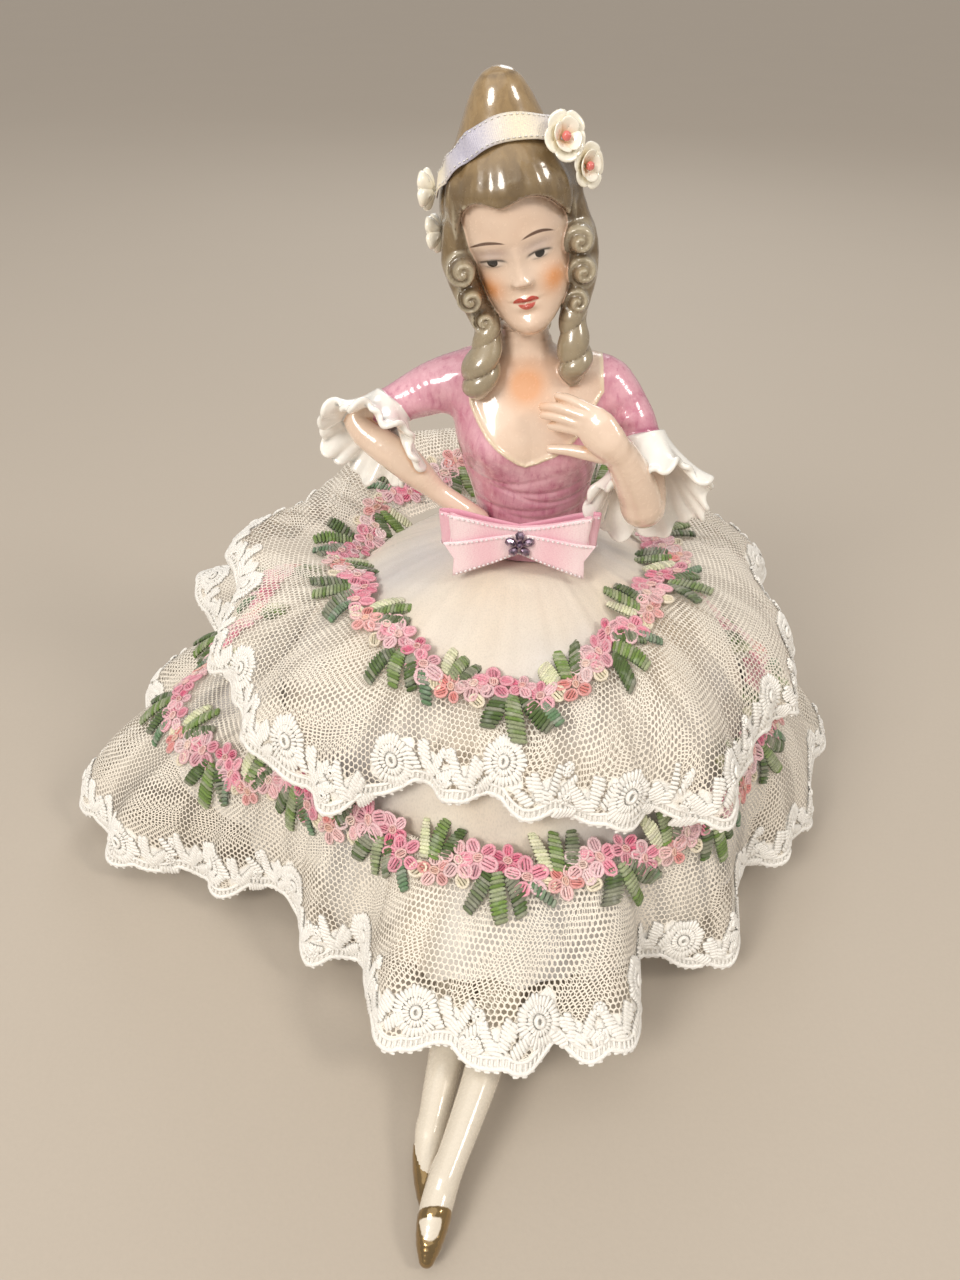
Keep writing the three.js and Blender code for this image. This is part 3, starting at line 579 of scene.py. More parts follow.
def cuffs_distance(points):
    """Distance to the two fluted cuffs."""
    if not CUFF_TREES:
        CUFF_TREES.extend(cuff_tree(cuff) for cuff in CUFFS)
    out = np.full(len(points), FAR)
    for tree, low, high in CUFF_TREES:
        near = np.flatnonzero(((points > low) & (points < high)).all(1))
        for i, p in zip(near, points[near].tolist()):
            found = tree.find_nearest(p, FAR)[3]
            if found is not None:
                out[i] = min(out[i], found - CUFF_WALL / 2)
    return out


def creased_sleeve(p, stations, armpit, way):
    """A sleeve with fine folds running out of the armpit."""
    d = limb(p, stations)
    q = p - np.array(armpit)
    rho = np.linalg.norm(q, axis=1)
    folds = np.sin(9 * np.arctan2(q[:, 2], q[:, 0] * way) + 0.5 * rho) * bell(rho - 7, 6.5)
    return d + 0.26 * folds * (d < 2)


def open_hand(p):
    """Distance to the hand held before the chest: a flattened palm with its fingers."""
    palm = np.array(PALM)
    across = (p - palm[1, :3]) @ PALM_FACING
    flattened = p + np.outer(across * 0.75, PALM_FACING)
    hand = np.where(np.abs(across) < 5, limb(flattened, PALM) * 0.75, FAR)
    for finger in FINGERS:
        hand = joined(hand, limb(p, finger), 0.55)
    return hand


def doll_parts(p):
    """Distances to the skin, gown, hair, arms and cuffs of the doll, in its own axes."""
    q = to_head(p)
    skin = joined(head_distance(q), limb(p, NECK), 2.2)
    gown = torso_distance(p)
    for sleeve in SLEEVES:
        gown = joined(gown, creased_sleeve(p, *sleeve), 2.6)
    arms = limb(p, RIGHT_FOREARM)
    for finger in HIP_FINGERS:
        arms = joined(arms, limb(p, finger), 0.8)
    arms = np.minimum(arms, joined(limb(p, LEFT_FOREARM), open_hand(p), 1.6))
    hair, cuffs = hair_distance(q), cuffs_distance(p)
    return {"skin": skin, "gown": gown, "hair": hair, "arms": arms, "cuffs": cuffs}


def doll_distance(p):
    """Distance to the whole doll, its parts run together with fillets as in a casting."""
    parts = doll_parts(p)
    body = parts["skin"]
    for name, fillet in (("gown", 2.4), ("cuffs", 0.9), ("arms", 0.5), ("hair", 0.9)):
        body = joined(body, parts[name], fillet)
    return body


# Meshes from distances

CORNERS = list(itertools.product((0, 1), repeat=3))
CHUNK = 200000  # points worked out at a time
BLOCK = 4  # cells along the side of a block that is looked at first


def in_chunks(distance, points):
    """A distance at many points, worked out a chunk at a time to spare memory."""
    return np.concatenate([distance(points[i : i + CHUNK]) for i in range(0, len(points), CHUNK)])


def near_cells(distance, low, blocks, reach):
    """The cells of the blocks that the surface may pass."""
    corner = np.stack(np.meshgrid(*(np.arange(n + 1) for n in blocks), indexing="ij"), -1)
    rough = in_chunks(distance, low + corner.reshape(-1, 3) * reach).reshape(blocks + 1)
    inner = corner[:-1, :-1, :-1].reshape(-1, 3) + 0.5
    middle = in_chunks(distance, low + inner * reach).reshape(blocks)
    bx, by, bz = blocks
    around = np.stack([rough[i : i + bx, j : j + by, k : k + bz] for i, j, k in CORNERS])
    # a block counts where its middle is near the surface, or its corners lie on both sides of it
    cells = np.abs(middle) < reach * 1.25
    cells |= (around.min(0) < 0.4 * reach) & (around.max(0) > -0.4 * reach)
    for axis in range(3):
        cells = np.repeat(cells, BLOCK, axis)
    return cells


def crossing_points(v):
    """The mean place in each cell where its edges cross the surface, in cells."""
    total, count = np.zeros((len(v), 3)), np.zeros(len(v))
    for a, b in itertools.combinations(range(8), 2):
        if sum(x != y for x, y in zip(CORNERS[a], CORNERS[b])) != 1:
            continue
        crossing = (v[:, a] < 0) != (v[:, b] < 0)
        share = np.where(crossing, v[:, a] / np.where(crossing, v[:, a] - v[:, b], 1), 0)[:, None]
        point = np.array(CORNERS[a]) + share * (np.array(CORNERS[b]) - np.array(CORNERS[a]))
        total += point * crossing[:, None]
        count += crossing
    return total / count[:, None]


def crossing_quads(where, v, ids):
    """A quad round every cell edge that crosses the surface, facing outward."""
    quads = []
    steps = np.eye(3, dtype=int)
    for axis in range(3):
        one, two = steps[(axis + 1) % 3], steps[(axis + 2) % 3]
        start, end = v[:, 0], v[:, CORNERS.index(tuple(steps[axis]))]
        edge = (start < 0) != (end < 0)
        around = [where[edge] - shift for shift in (0 * one, one, one + two, two)]
        quad = np.stack([ids[tuple(c.T)] for c in around], 1)
        inward = start[edge] >= 0
        quad[inward] = quad[inward][:, ::-1]
        quads.append(quad[(quad >= 0).all(1)])
    return np.concatenate(quads)


def surface_of(distance, low, high, pitch):
    """Vertices and quads of the surface where a distance is zero, about one pitch apart."""
    low = np.array(low, float)
    reach = pitch * BLOCK
    blocks = np.ceil((np.array(high) - low) / reach).astype(int)
    cells = near_cells(distance, low, blocks, reach)
    n = np.array(cells.shape)
    nodes = np.zeros(n + 1, bool)
    for i, j, k in CORNERS:
        nodes[i : i + n[0], j : j + n[1], k : k + n[2]] |= cells
    value = np.ones(n + 1, np.float32)
    value[nodes] = in_chunks(distance, low + np.stack(np.nonzero(nodes), -1) * pitch)
    where = np.stack(np.nonzero(cells), -1)
    v = np.stack([value[tuple((where + c).T)] for c in CORNERS], 1)
    mixed = (v < 0).any(1) & (v >= 0).any(1)
    where, v = where[mixed], v[mixed]
    ids = np.full(n, -1)
    ids[tuple(where.T)] = np.arange(len(where))
    return low + (where + crossing_points(v)) * pitch, crossing_quads(where, v, ids)


def settled(points, distance):
    """Points moved onto the surface in two rounds, and its outward direction there."""
    step = 0.06
    for _ in range(2):
        d = in_chunks(distance, points)
        g = np.stack([in_chunks(distance, points + step * e) - d for e in np.eye(3)], 1) / step
        off = d / np.maximum((g * g).sum(1), 0.2)
        points = points - g * np.clip(off, -0.5, 0.5)[:, None]
    return points, unit(g)


# Mesh objects


def add_mesh(name, points, faces, finish, uv=None, smoothed=True, **values):
    """A mesh object from points in millimetres, an array of faces and values for each point."""
    mesh = bpy.data.meshes.new(name)
    faces = np.asarray(faces)
    sides = faces.shape[1]
    mesh.vertices.add(len(points))
    mesh.vertices.foreach_set("co", (np.asarray(points) * MM).astype(np.float32).ravel())
    mesh.loops.add(faces.size)
    mesh.loops.foreach_set("vertex_index", faces.astype(np.int32).ravel())
    mesh.polygons.add(len(faces))
    mesh.polygons.foreach_set("loop_start", np.arange(0, faces.size, sides, dtype=np.int32))
    mesh.polygons.foreach_set("use_smooth", np.full(len(faces), smoothed))
    mesh.update(calc_edges=True)
    if uv is not None:
        layer = mesh.uv_layers.new(name="cloth")
        layer.data.foreach_set("uv", np.asarray(uv, np.float32)[faces.ravel()].ravel())
    piece = bpy.data.objects.new(name, mesh)
    bpy.context.scene.collection.objects.link(piece)
    add_values(mesh, values)
    mesh.materials.append(finish)
    return piece


def add_values(mesh, values):
    """Attributes of a mesh, a number or three for each point."""
    for key, value in values.items():
        value = np.asarray(value, np.float32)
        kind, field = ("FLOAT", "value") if value.ndim == 1 else ("FLOAT_VECTOR", "vector")
        layer = mesh.attributes.new(key, kind, "POINT")
        layer.data.foreach_set(field, value.ravel())


def points_of(piece):
    """The points of a piece in millimetres."""
    co = np.zeros(len(piece.data.vertices) * 3, np.float32)
    piece.data.vertices.foreach_get("co", co)
    return co.reshape(-1, 3).astype(float) / MM


def thinned(piece, triangles):
    """Fewer triangles where the surface is plain."""
    now = sum(len(p.vertices) - 2 for p in piece.data.polygons)
    if now > triangles:
        modifier = piece.modifiers.new("thin", "DECIMATE")
        modifier.ratio = triangles / now
        bpy.context.view_layer.objects.active = piece
        bpy.ops.object.modifier_apply(modifier=modifier.name)
        piece.data.polygons.foreach_set("use_smooth", np.full(len(piece.data.polygons), True))


def place(piece, node):
    """Rides the piece on the object, in place of a node."""
    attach(piece, "root")
    if node:
        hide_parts(node)
    return piece


def grid_faces(rows, columns, rows_closed=False, columns_closed=False):
    """Quads of a grid of points, row by row."""
    i = np.arange(rows if rows_closed else rows - 1)
    j = np.arange(columns if columns_closed else columns - 1)
    i, j = np.meshgrid(i, j, indexing="ij")
    ni, nj = (i + 1) % rows, (j + 1) % columns
    corners = [i * columns + j, i * columns + nj, ni * columns + nj, ni * columns + j]
    return np.stack(corners, -1).reshape(-1, 4)


class Parts:
    """Collects many small meshes into one."""

    def __init__(self):
        self.points, self.faces, self.tints, self.count = [], [], [], 0

    def add(self, points, faces, tint):
        points = np.asarray(points, float).reshape(-1, 3)
        self.points.append(points)
        self.faces.append(np.asarray(faces) + self.count)
        self.tints.append(np.broadcast_to(np.asarray(tint, float), (len(points), 3)))
        self.count += len(points)

    def add_many(self, points, faces, tints):
        """The same faces over many sets of points, each with its tint."""
        for_each = points.shape[1]
        shift = np.arange(len(points))[:, None, None] * for_each
        self.add(points.reshape(-1, 3), (np.asarray(faces)[None] + shift).reshape(-1, 4), [0, 0, 0])
        self.tints[-1] = np.repeat(np.asarray(tints, float), for_each, 0)

    def build(self, name, finish):
        points, faces, tints = (np.concatenate(v) for v in (self.points, self.faces, self.tints))
        return add_mesh(name, points, faces, finish, tint=tints)


def stitch_shape():
    """A raised stitch, 2 long and 2 wide about its middle and 1 high."""
    reach = np.array([-1, -0.62, 0.62, 1])
    rings = sides = 4
    bulk = np.sqrt(np.maximum(1 - (np.abs(reach) / 1.06) ** 3, 0))
    angle = np.linspace(0, np.pi, sides)
    points = np.stack(
        [
            np.repeat(reach, sides),
            np.outer(bulk, np.cos(angle)).ravel(),
            np.outer(0.25 + 0.75 * bulk, np.sin(angle)).ravel(),
        ],
        1,
    )
    caps = np.array([[0, 1, 2, 3], [3, 2, 1, 0]]) + np.array([[0], [(rings - 1) * sides]])
    return points, np.concatenate([grid_faces(rings, sides, columns_closed=True), caps])


STITCH = stitch_shape()


def add_stitches(parts, start, end, normal, half_width, height, tints):
    """Satin stitches from start to end, lying on a surface."""
    shape, faces = STITCH
    start, end, normal = (np.asarray(v, float) for v in (start, end, normal))
    middle, half = (start + end) / 2, (end - start) / 2
    side = unit(np.cross(half, normal))
    half_width = np.broadcast_to(half_width, len(start))[:, None, None]
    height = np.broadcast_to(height, len(start))[:, None, None]
    points = (
        middle[:, None]
        + half[:, None] * shape[None, :, :1]
        + side[:, None] * shape[None, :, 1:2] * half_width
        + normal[:, None] * shape[None, :, 2:3] * height
    )
    parts.add_many(points, faces, np.broadcast_to(tints, (len(start), 3)))


CORD_SIDES = 5


def cord(parts, path, normal, radius, tint, twist=0.0):
    """A closed round cord along a path of points, with a normal at each of them."""
    ahead = np.roll(path, -1, 0) - np.roll(path, 1, 0)
    side = unit(np.cross(ahead, normal))
    up = unit(np.cross(side, ahead))
    angle = np.linspace(0, 2 * np.pi, CORD_SIDES, endpoint=False)
    strand = 1 + twist * np.cos(2 * angle[None] + np.arange(len(path))[:, None] * 1.3)[..., None]
    across = side[:, None] * np.cos(angle)[None, :, None] + up[:, None] * np.sin(angle)[None, :, None]
    points = path[:, None] + strand * radius * across
    parts.add(points, grid_faces(len(path), CORD_SIDES, True, True), tint)


# Shader maths


class Value:
    """A socket whose value varies over a surface: its operators add Math nodes."""

    def __init__(self, finish, socket):
        self.finish, self.socket = finish, socket

    def maths(self, operation, *values, **settings):
        return self.finish.node("ShaderNodeMath", {"operation": operation, **settings}, *values)

    def __add__(self, other):
        return self.maths("ADD", self, other)

    __radd__ = __add__

    def __mul__(self, other):
        return self.maths("MULTIPLY", self, other)

    __rmul__ = __mul__

    def __sub__(self, other):
        return self.maths("SUBTRACT", self, other)

    def __rsub__(self, other):
        return self.maths("SUBTRACT", other, self)

    def __truediv__(self, other):
        return self.maths("DIVIDE", self, other)

    def __neg__(self):
        return self * -1

    def __pow__(self, other):
        return self.maths("POWER", self, other)

    def __abs__(self):
        return self.maths("ABSOLUTE", self)

    def __gt__(self, other):
        return self.maths("GREATER_THAN", self, other)

    def least(self, other):
        return self.maths("MINIMUM", self, other)

    def most(self, other):
        return self.maths("MAXIMUM", self, other)

    def sine(self):
        return self.maths("SINE", self)

    def modulo(self, other):
        return self.maths("FLOORED_MODULO", self, other)

    def rise(self, low, high):
        """0 below low, 1 above high and smooth between."""
        return self.finish.node(
            "ShaderNodeMapRange", {"interpolation_type": "SMOOTHSTEP"}, self, low, high, 0.0, 1.0
        )

    def bell(self, width):
        return self.maths("EXPONENT", -((self / width) * (self / width)))


def socket_name(key):
    """The shader's socket a key stands for: base_color is Base Color."""
    return key.replace("_", " ").title().replace("Ior", "IOR")


class Finish:
    """A procedural material around one Principled shader."""

    def __init__(self, name, **constants):
        self.material = bpy.data.materials.new(name)
        self.material.use_nodes = True
        self.tree = self.material.node_tree
        self.shader = self.tree.nodes["Principled BSDF"]
        for key, value in constants.items():
            self.shader.inputs[socket_name(key)].default_value = value

    def node(self, kind, settings, *values, **named):
        """Adds a node with its settings, then the values or links of its sockets."""
        node = self.tree.nodes.new(kind)
        for key, value in settings.items():
            setattr(node, key, value)
        pairs = list(zip(node.inputs, values)) + [(node.inputs[k], v) for k, v in named.items()]
        for socket, value in pairs:
            self.feed(socket, value)
        return Value(self, node.outputs[0])

    def feed(self, socket, value):
        """Links a varying value to a socket, or sets a plain one."""
        if isinstance(value, Value):
            self.tree.links.new(value.socket, socket)
        elif hasattr(value, "__len__") and socket.type == "RGBA":
            socket.default_value = (*list(value)[:3], 1)
        else:
            socket.default_value = value

    def attribute(self, name, out="Fac"):
        """What a point of the mesh holds under a name."""
        node = self.tree.nodes.new("ShaderNodeAttribute")
        node.attribute_name = name
        return Value(self, node.outputs[out])

    def place(self):
        """Where a point of the surface is on the piece, in metres."""
        node = self.tree.nodes.new("ShaderNodeTexCoord")
        return Value(self, node.outputs["Object"])

    def flat(self):
        """Where a point is on the flat cloth, in millimetres."""
        node = self.tree.nodes.new("ShaderNodeUVMap")
        node.uv_map = "cloth"
        return Value(self, node.outputs["UV"])

    def parts(self, vector):
        """The three numbers of a vector."""
        node = self.tree.nodes.new("ShaderNodeSeparateXYZ")
        self.feed(node.inputs[0], vector)
        return [Value(self, o) for o in node.outputs]

    def noise(self, vector, scale, detail=3.0, roughness=0.55, distortion=0.0):
        return self.node(
            "ShaderNodeTexNoise",
            {},
            Vector=vector,
            Scale=scale,
            Detail=detail,
            Roughness=roughness,
            Distortion=distortion,
        )

    def stretched(self, vector, scale):
        return self.node("ShaderNodeVectorMath", {"operation": "MULTIPLY"}, vector, scale)

    def blend(self, under, over, share):
        """One colour over another by a share."""
        node = self.tree.nodes.new("ShaderNodeMix")
        node.data_type = "RGBA"
        for socket, value in ((node.inputs[0], share), (node.inputs[6], under), (node.inputs[7], over)):
            self.feed(socket, value)
        return Value(self, node.outputs[2])

    def paint(self, **inputs):
        """Feeds what varies into the shader."""
        for key, value in inputs.items():
            self.feed(self.shader.inputs[socket_name(key)], value)

    def bump(self, height, distance, strength=1.0):
        normal = self.node("ShaderNodeBump", {}, Strength=strength, Distance=distance, Height=height)
        self.feed(self.shader.inputs["Normal"], normal)


def linear(colour):
    """A screen colour as the shader takes it."""
    return tuple(((c + 0.055) / 1.055) ** 2.4 if c > 0.04045 else c / 12.92 for c in colour)


def screen(red, green, blue):
    """A colour from its screen values, 0 to 255."""
    return linear((red / 255, green / 255, blue / 255))


# Colours and finishes of the porcelain

SKIN = screen(236, 212, 192)
SKIN_SHADE = screen(212, 176, 150)
ROUGE = screen(238, 158, 88)
HAIR_DARK = screen(92, 74, 50)
HAIR_MID = screen(130, 110, 78)
HAIR_LIGHT = screen(192, 182, 158)
# painted light: the top of the hair is lighter, where the light falls
HAIR_LIT_TOP = screen(172, 144, 102)
GOWN_DARK = screen(178, 100, 128)
GOWN_MID = screen(204, 134, 156)
GOWN_LIGHT = screen(236, 188, 200)
CUFF = screen(252, 250, 244)
CUFF_SHADE = screen(186, 194, 196)
CREAM = screen(236, 216, 190)
BROW = screen(80, 48, 32)
LID = screen(84, 76, 70)
PUPIL = screen(2, 2, 4)
LIP = screen(188, 46, 30)


def glaze(name):
    """Clear glaze over painted porcelain."""
    return Finish(name, roughness=0.22, coat_weight=1.0, coat_roughness=0.035, specular_ior_level=0.55)


def rouge_paint(f, colour, s, z, front, fleck):
    """Stippled rouge on both cheeks; s is the distance from the middle of the face."""
    cheek = (s - 7.4).bell(2.9) * (z + 2.4).bell(2.9) * (0.72 + 0.4 * fleck)
    return f.blend(colour, ROUGE, (cheek * front * 0.95).least(0.85))


def eye_paint(f, colour, s, z, front):
    """Shaded lid, white, a drooping arc for the lashes and a pupil half under it."""
    shade = (s - 5.0).bell(3.4) * (z - 5.9).bell(1.5)
    colour = f.blend(colour, screen(190, 176, 178), shade * front * 0.5)
    white = (s - 5.2).bell(2.0) * (z - 3.75).bell(0.75)
    colour = f.blend(colour, screen(238, 234, 230), white * front * 0.8)
    lid_line = 4.6 - 0.085 * (s - 4.9) * (s - 4.9)
    lid = (z - lid_line).bell(0.31) * (s - 5.1).bell(2.5).rise(0.12, 0.5)
    low_line = z - 2.95 - 0.05 * (s - 5.1) * (s - 5.1)
    under = low_line.bell(0.2) * (s - 5.1).bell(1.8).rise(0.2, 0.7) * 0.4
    colour = f.blend(colour, LID, lid.most(under) * front)
    round_pupil = 1 - (((s - 5.15) / 1.08) ** 2.0 + ((z - 4.1) / 1.05) ** 2.0).rise(0.8, 1.15)
    hooded = (lid_line - 0.05 - z).rise(-0.1, 0.1)
    return f.blend(colour, PUPIL, (round_pupil * hooded * front * 1.4).least(1.0))


def brow_paint(f, colour, s, z, front):
    """A thin arch over each eye, steeper on its outer side."""
    brow_line = 8.7 - (s - 5.1) * (s - 5.1) * (0.058 + 0.03 * (s > 5.1))
    thick = (1 - ((s - 5.6) / 4.2) ** 2.0).most(0.0) * 0.31 + 0.04
    brow = 1 - (abs(z - brow_line) / thick).rise(0.6, 1.3)
    return f.blend(colour, BROW, brow * front * (s - 5.5).bell(3.9).rise(0.3, 0.6) * 0.92)


def lip_paint(f, colour, s, z, front, fleck):
    """A bowed upper lip, a shorter lower one and the dark line between them."""
    peak = -4.28 - (s - 1.2) * (s - 1.2) * 0.3
    above_parting = (z + 5.42 + 0.02 * s * s).rise(-0.1, 0.12)
    upper = (peak - z).rise(-0.12, 0.14) * above_parting * (3.05 - s).rise(0.0, 0.5)
    low = -7.15 + 0.3 * s * s
    lower = (-5.75 - z).rise(-0.08, 0.14) * (z - low).rise(-0.1, 0.16) * (2.3 - s).rise(0.0, 0.8)
    worn = 0.72 + 0.5 * fleck
    colour = f.blend(colour, LIP, (upper.most(lower * 0.92) * worn).least(0.95) * front)
    parting = (z + 5.58).bell(0.14) * (2.7 - s).rise(0.0, 0.8)
    return f.blend(colour, screen(140, 70, 52), parting * front * 0.5)


def face_paint(f, colour):
    """Rouge, eyes, brows and lips painted in the face's own axes, which are in millimetres."""
    x, depth, z = f.parts(f.attribute("face", "Vector"))
    s = abs(x)
    front = (-depth).rise(1.5, 4.0)
    fleck = f.noise(f.place(), 2200.0, 2.0)
    colour = rouge_paint(f, colour, s, z, front, fleck)
    colour = eye_paint(f, colour, s, z, front)
    colour = brow_paint(f, colour, s, z, front)
    return lip_paint(f, colour, s, z, front, fleck)


def skin_paint(f, cavity, mottle):
    """Fair skin, darker in the hollows, with a warm spot on the breast and the painted face."""
    colour = f.blend(SKIN, SKIN_SHADE, (cavity * 0.8 + (mottle - 0.45) * 0.7).least(0.7).most(0.0))
    x, y, z = f.parts(f.attribute("body", "Vector"))
    spot = (x + 1.4).bell(4.2) * (z - 46.4).bell(3.9) * (-y).rise(2.0, 6.0)
    colour = f.blend(colour, ROUGE, (spot * 0.85).least(0.56))
    warm = f.attribute("arms").rise(-0.1, 0.1)
    colour = f.blend(colour, screen(226, 180, 142), warm * cavity * 0.5)
    return face_paint(f, colour), z


def gown_paint(f, z, cavity, ridge, mottle):
    """Brushed pink, darker in the folds as painted shade and towards the waist, with painted highlight on
    the ridges.
    """
    strokes = f.noise(f.stretched(f.place(), (1.0, 1.0, 0.32)), 700.0, 4.0, 0.65, 0.4)
    wash = ((mottle - 0.36) * 1.9 + (strokes - 0.5) * 1.6).most(0.0).least(1.0)
    cloth = f.blend(GOWN_LIGHT, GOWN_MID, (wash + 0.25).least(1.0))
    # painted shade in the folds, with the darker brush strokes
    cloth = f.blend(cloth, GOWN_DARK, (cavity * 1.1 + (strokes - 0.58).most(0.0) * 3.0).least(0.9))
    waist = 1 - z.rise(2.0, 24.0)
    cloth = f.blend(cloth, GOWN_DARK, waist * 0.32)
    # painted highlight on the ridges of the folds
    return f.blend(cloth, GOWN_LIGHT, ridge * 0.3)


def hair_paint(f, cavity, ridge):
    """Brown glaze, lighter on the top as painted light, light on the edges of the rolls where the glaze runs
    thin and as painted highlight, and dark in the grooves as painted shade.
    """
    combed = f.attribute("face", "Vector")
    streak = f.noise(f.stretched(combed, (0.5, 0.5, 0.16)), 1.3, 4.0, 0.6, 0.6)
    broad = f.noise(f.stretched(combed, (0.5, 0.5, 0.2)), 0.32, 2.0, 0.5, 0.8)
    _, _, high = f.parts(combed)
    # painted light: lighter towards the top of the hair
    hair = f.blend(HAIR_MID, HAIR_LIT_TOP, high.rise(18.0, 27.0) * 0.7)
    # painted shade in the grooves, with the darker brush streaks
    hair = f.blend(hair, HAIR_DARK, (cavity * 1.2 + (streak - 0.45) * 1.3).most(0.0).least(1.0))
    hair = f.blend(hair, HAIR_DARK, (broad - 0.46).rise(0.0, 0.16) * (1 - high.rise(20.0, 26.0)) * 0.5)
    rolled = f.attribute("rolls")
    # paler curls and streaks, with painted highlight on the ridges
    light = (rolled * 0.42 + ridge * 0.75 + (0.44 - streak).most(0.0)).least(0.85)
    hair = f.blend(hair, HAIR_LIGHT, light)
    # painted shade in the grooves of the curls and ringlets
    return f.blend(hair, HAIR_DARK, cavity * rolled * 0.8)


def doll_glaze():
    """Skin, cream edge of the gown, gown, cuffs and hair, each over the one before."""
    f = glaze("glazed_half_doll")
    at = f.place()
    # how deep in a hollow and how thin on an edge: the paints darken the hollows as painted shade and
    # lighten the edges as painted highlight
    cavity = f.attribute("cavity").rise(0.02, 0.75)
    ridge = f.attribute("ridge").rise(0.03, 0.6)
    mottle = f.noise(at, 170.0, 4.0)
    fine = f.noise(at, 900.0, 3.0)
    colour, z = skin_paint(f, cavity, mottle)
    past = f.attribute("past")
    dressed = f.attribute("gown").rise(-0.12, 0.12)
    colour = f.blend(colour, CREAM, dressed * past.rise(-0.5, 0.1))
    gown = dressed * (past - 0.75 + (fine - 0.5) * 0.5).rise(-0.14, 0.18)
    colour = f.blend(colour, gown_paint(f, z, cavity, ridge, mottle), gown)
    cuff = f.blend(CUFF, CUFF_SHADE, (cavity * 0.85 + (mottle - 0.5).most(0.0) * 0.8).least(0.8))
    colour = f.blend(colour, cuff, f.attribute("cuffs").rise(-0.15, 0.15))
    coiffure = (f.attribute("hair") + (fine - 0.5) * 0.3).rise(-0.12, 0.16)
    colour = f.blend(colour, hair_paint(f, cavity, ridge), coiffure)
    f.paint(base_color=colour, roughness=0.2 + 0.12 * fine)
    f.bump(f.noise(at, 260.0, 2.0) + 0.1 * fine, 0.00012, 0.5)
    return f.material


def leg_glaze():
    """Greyed white legs with worn gold lustre on the shoes."""
    f = glaze("glazed_legs")
    at = f.place()
    mottle = f.noise(at, 190.0, 4.0)
    fine = f.noise(at, 1100.0, 3.0)
    cavity = f.attribute("cavity").rise(0.02, 0.75)
    shade = (cavity * 0.8 + (mottle - 0.5).most(0.0) * 0.4).least(0.8)
    colour = f.blend(screen(224, 215, 199), screen(190, 176, 156), shade)
    worn = (f.attribute("shoe") + (mottle - 0.5) * 0.4 + (fine - 0.5) * 0.4).rise(-0.14, 0.14)
    lustre = f.blend(screen(104, 78, 30), screen(168, 134, 66), mottle)
    colour = f.blend(colour, lustre, worn * 0.92)
    f.paint(base_color=colour, roughness=0.2 + 0.14 * fine - 0.1 * worn, metallic=worn * 0.9)
    f.bump(f.noise(at, 300.0, 2.0) + 0.06 * fine, 0.00006, 0.4)
    return f.material


# Settings a user may change


class HalfDollSizes(bpy.types.PropertyGroup):
    porcelain_pitch: FloatProperty(
        name="Porcelain pitch",
        description="Spacing of the points of the porcelain",
        default=0.0005,
        unit="LENGTH",
    )
    porcelain_faces: IntProperty(
        name="Doll triangles", description="Most triangles the doll is kept to", default=184000
    )
    net_mesh: FloatProperty(
        name="Net mesh",
        description="Width of a hole of the net, with its thread",
        default=0.0016,
        unit="LENGTH",
    )
    thread: FloatProperty(
        name="Net thread", description="Width of the thread of the net", default=0.00034, unit="LENGTH"
    )


class HalfDollColours(bpy.types.PropertyGroup):
    lace: FloatVectorProperty(
        name="Lace",
        description="Colour of the net and its white work",
        default=screen(244, 234, 216),
        subtype="COLOR",
    )
    # cream satin of the cushion, set darker than the lining's as painted shade
    satin: FloatVectorProperty(
        name="Satin", description="Colour of the cushion", default=screen(228, 219, 206), subtype="COLOR"
    )
    bow: FloatVectorProperty(
        name="Bow", description="Colour of the waist ribbon", default=screen(255, 222, 229), subtype="COLOR"
    )
    floor: FloatVectorProperty(
        name="Floor", description="Colour of the floor", default=screen(192, 182, 169), subtype="COLOR"
    )


def sizes():
    return bpy.context.scene.half_doll_sizes


def colours():
    return bpy.context.scene.half_doll_colours


RELIEF_REACH = 0.9  # how far from a point its grooves and edges are felt


def relief_values(points, distance, outward):
    """How deep in a groove and how thin on an edge each point lies."""
    out = in_chunks(distance, points + RELIEF_REACH * outward)
    into = in_chunks(distance, points - RELIEF_REACH * outward)
    return np.clip(1 - out / RELIEF_REACH, 0, 1), np.clip(1 + into / RELIEF_REACH, 0, 1)


DOLL_BOX = ((-58, -30, -0.6), (50, 18, 113))


class HALFDOLL_OT_doll(bpy.types.Operator):
    """Builds the glazed half-doll: head, hair, bodice, arms and cuffs"""

    bl_idname = "halfdoll.doll"
    bl_label = "Half-doll"

    def execute(self, context):
        pitch = sizes().porcelain_pitch / MM * 1
        points, quads = surface_of(doll_distance, *DOLL_BOX, pitch)
        piece = add_mesh("glazed_half_doll", points, quads, doll_glaze())
        thinned(piece, sizes().porcelain_faces)
        points, outward = settled(points_of(piece), doll_distance)
        parts = doll_parts(points)
        cavity, ridge = relief_values(points, doll_distance, outward)
        others = {k: np.minimum.reduce([d for j, d in parts.items() if j != k]) - parts[k] for k in parts}
        in_head = to_head(points)
        curled = [curl(in_head, *c) for c in CURLS] + [ringlet(in_head, r) for r in RINGLETS]
        add_values(
            piece.data,
            {
                "cavity": cavity,
                "ridge": ridge,
                "body": points,
                "face": to_face(in_head),
                "past": beyond_neckline(points),
                "rolls": smooth(1.2 - np.minimum.reduce(curled)),
                **{k: others[k] for k in ("gown", "hair", "arms", "cuffs")},
            },
        )
        piece.data.vertices.foreach_set("co", (on_doll(points) * MM).astype(np.float32).ravel())
        piece.data.update()
        piece.data.normals_split_custom_set_from_vertices(outward.tolist())
        place(piece, "half_doll")
        return {"FINISHED"}


# Legs and shoes

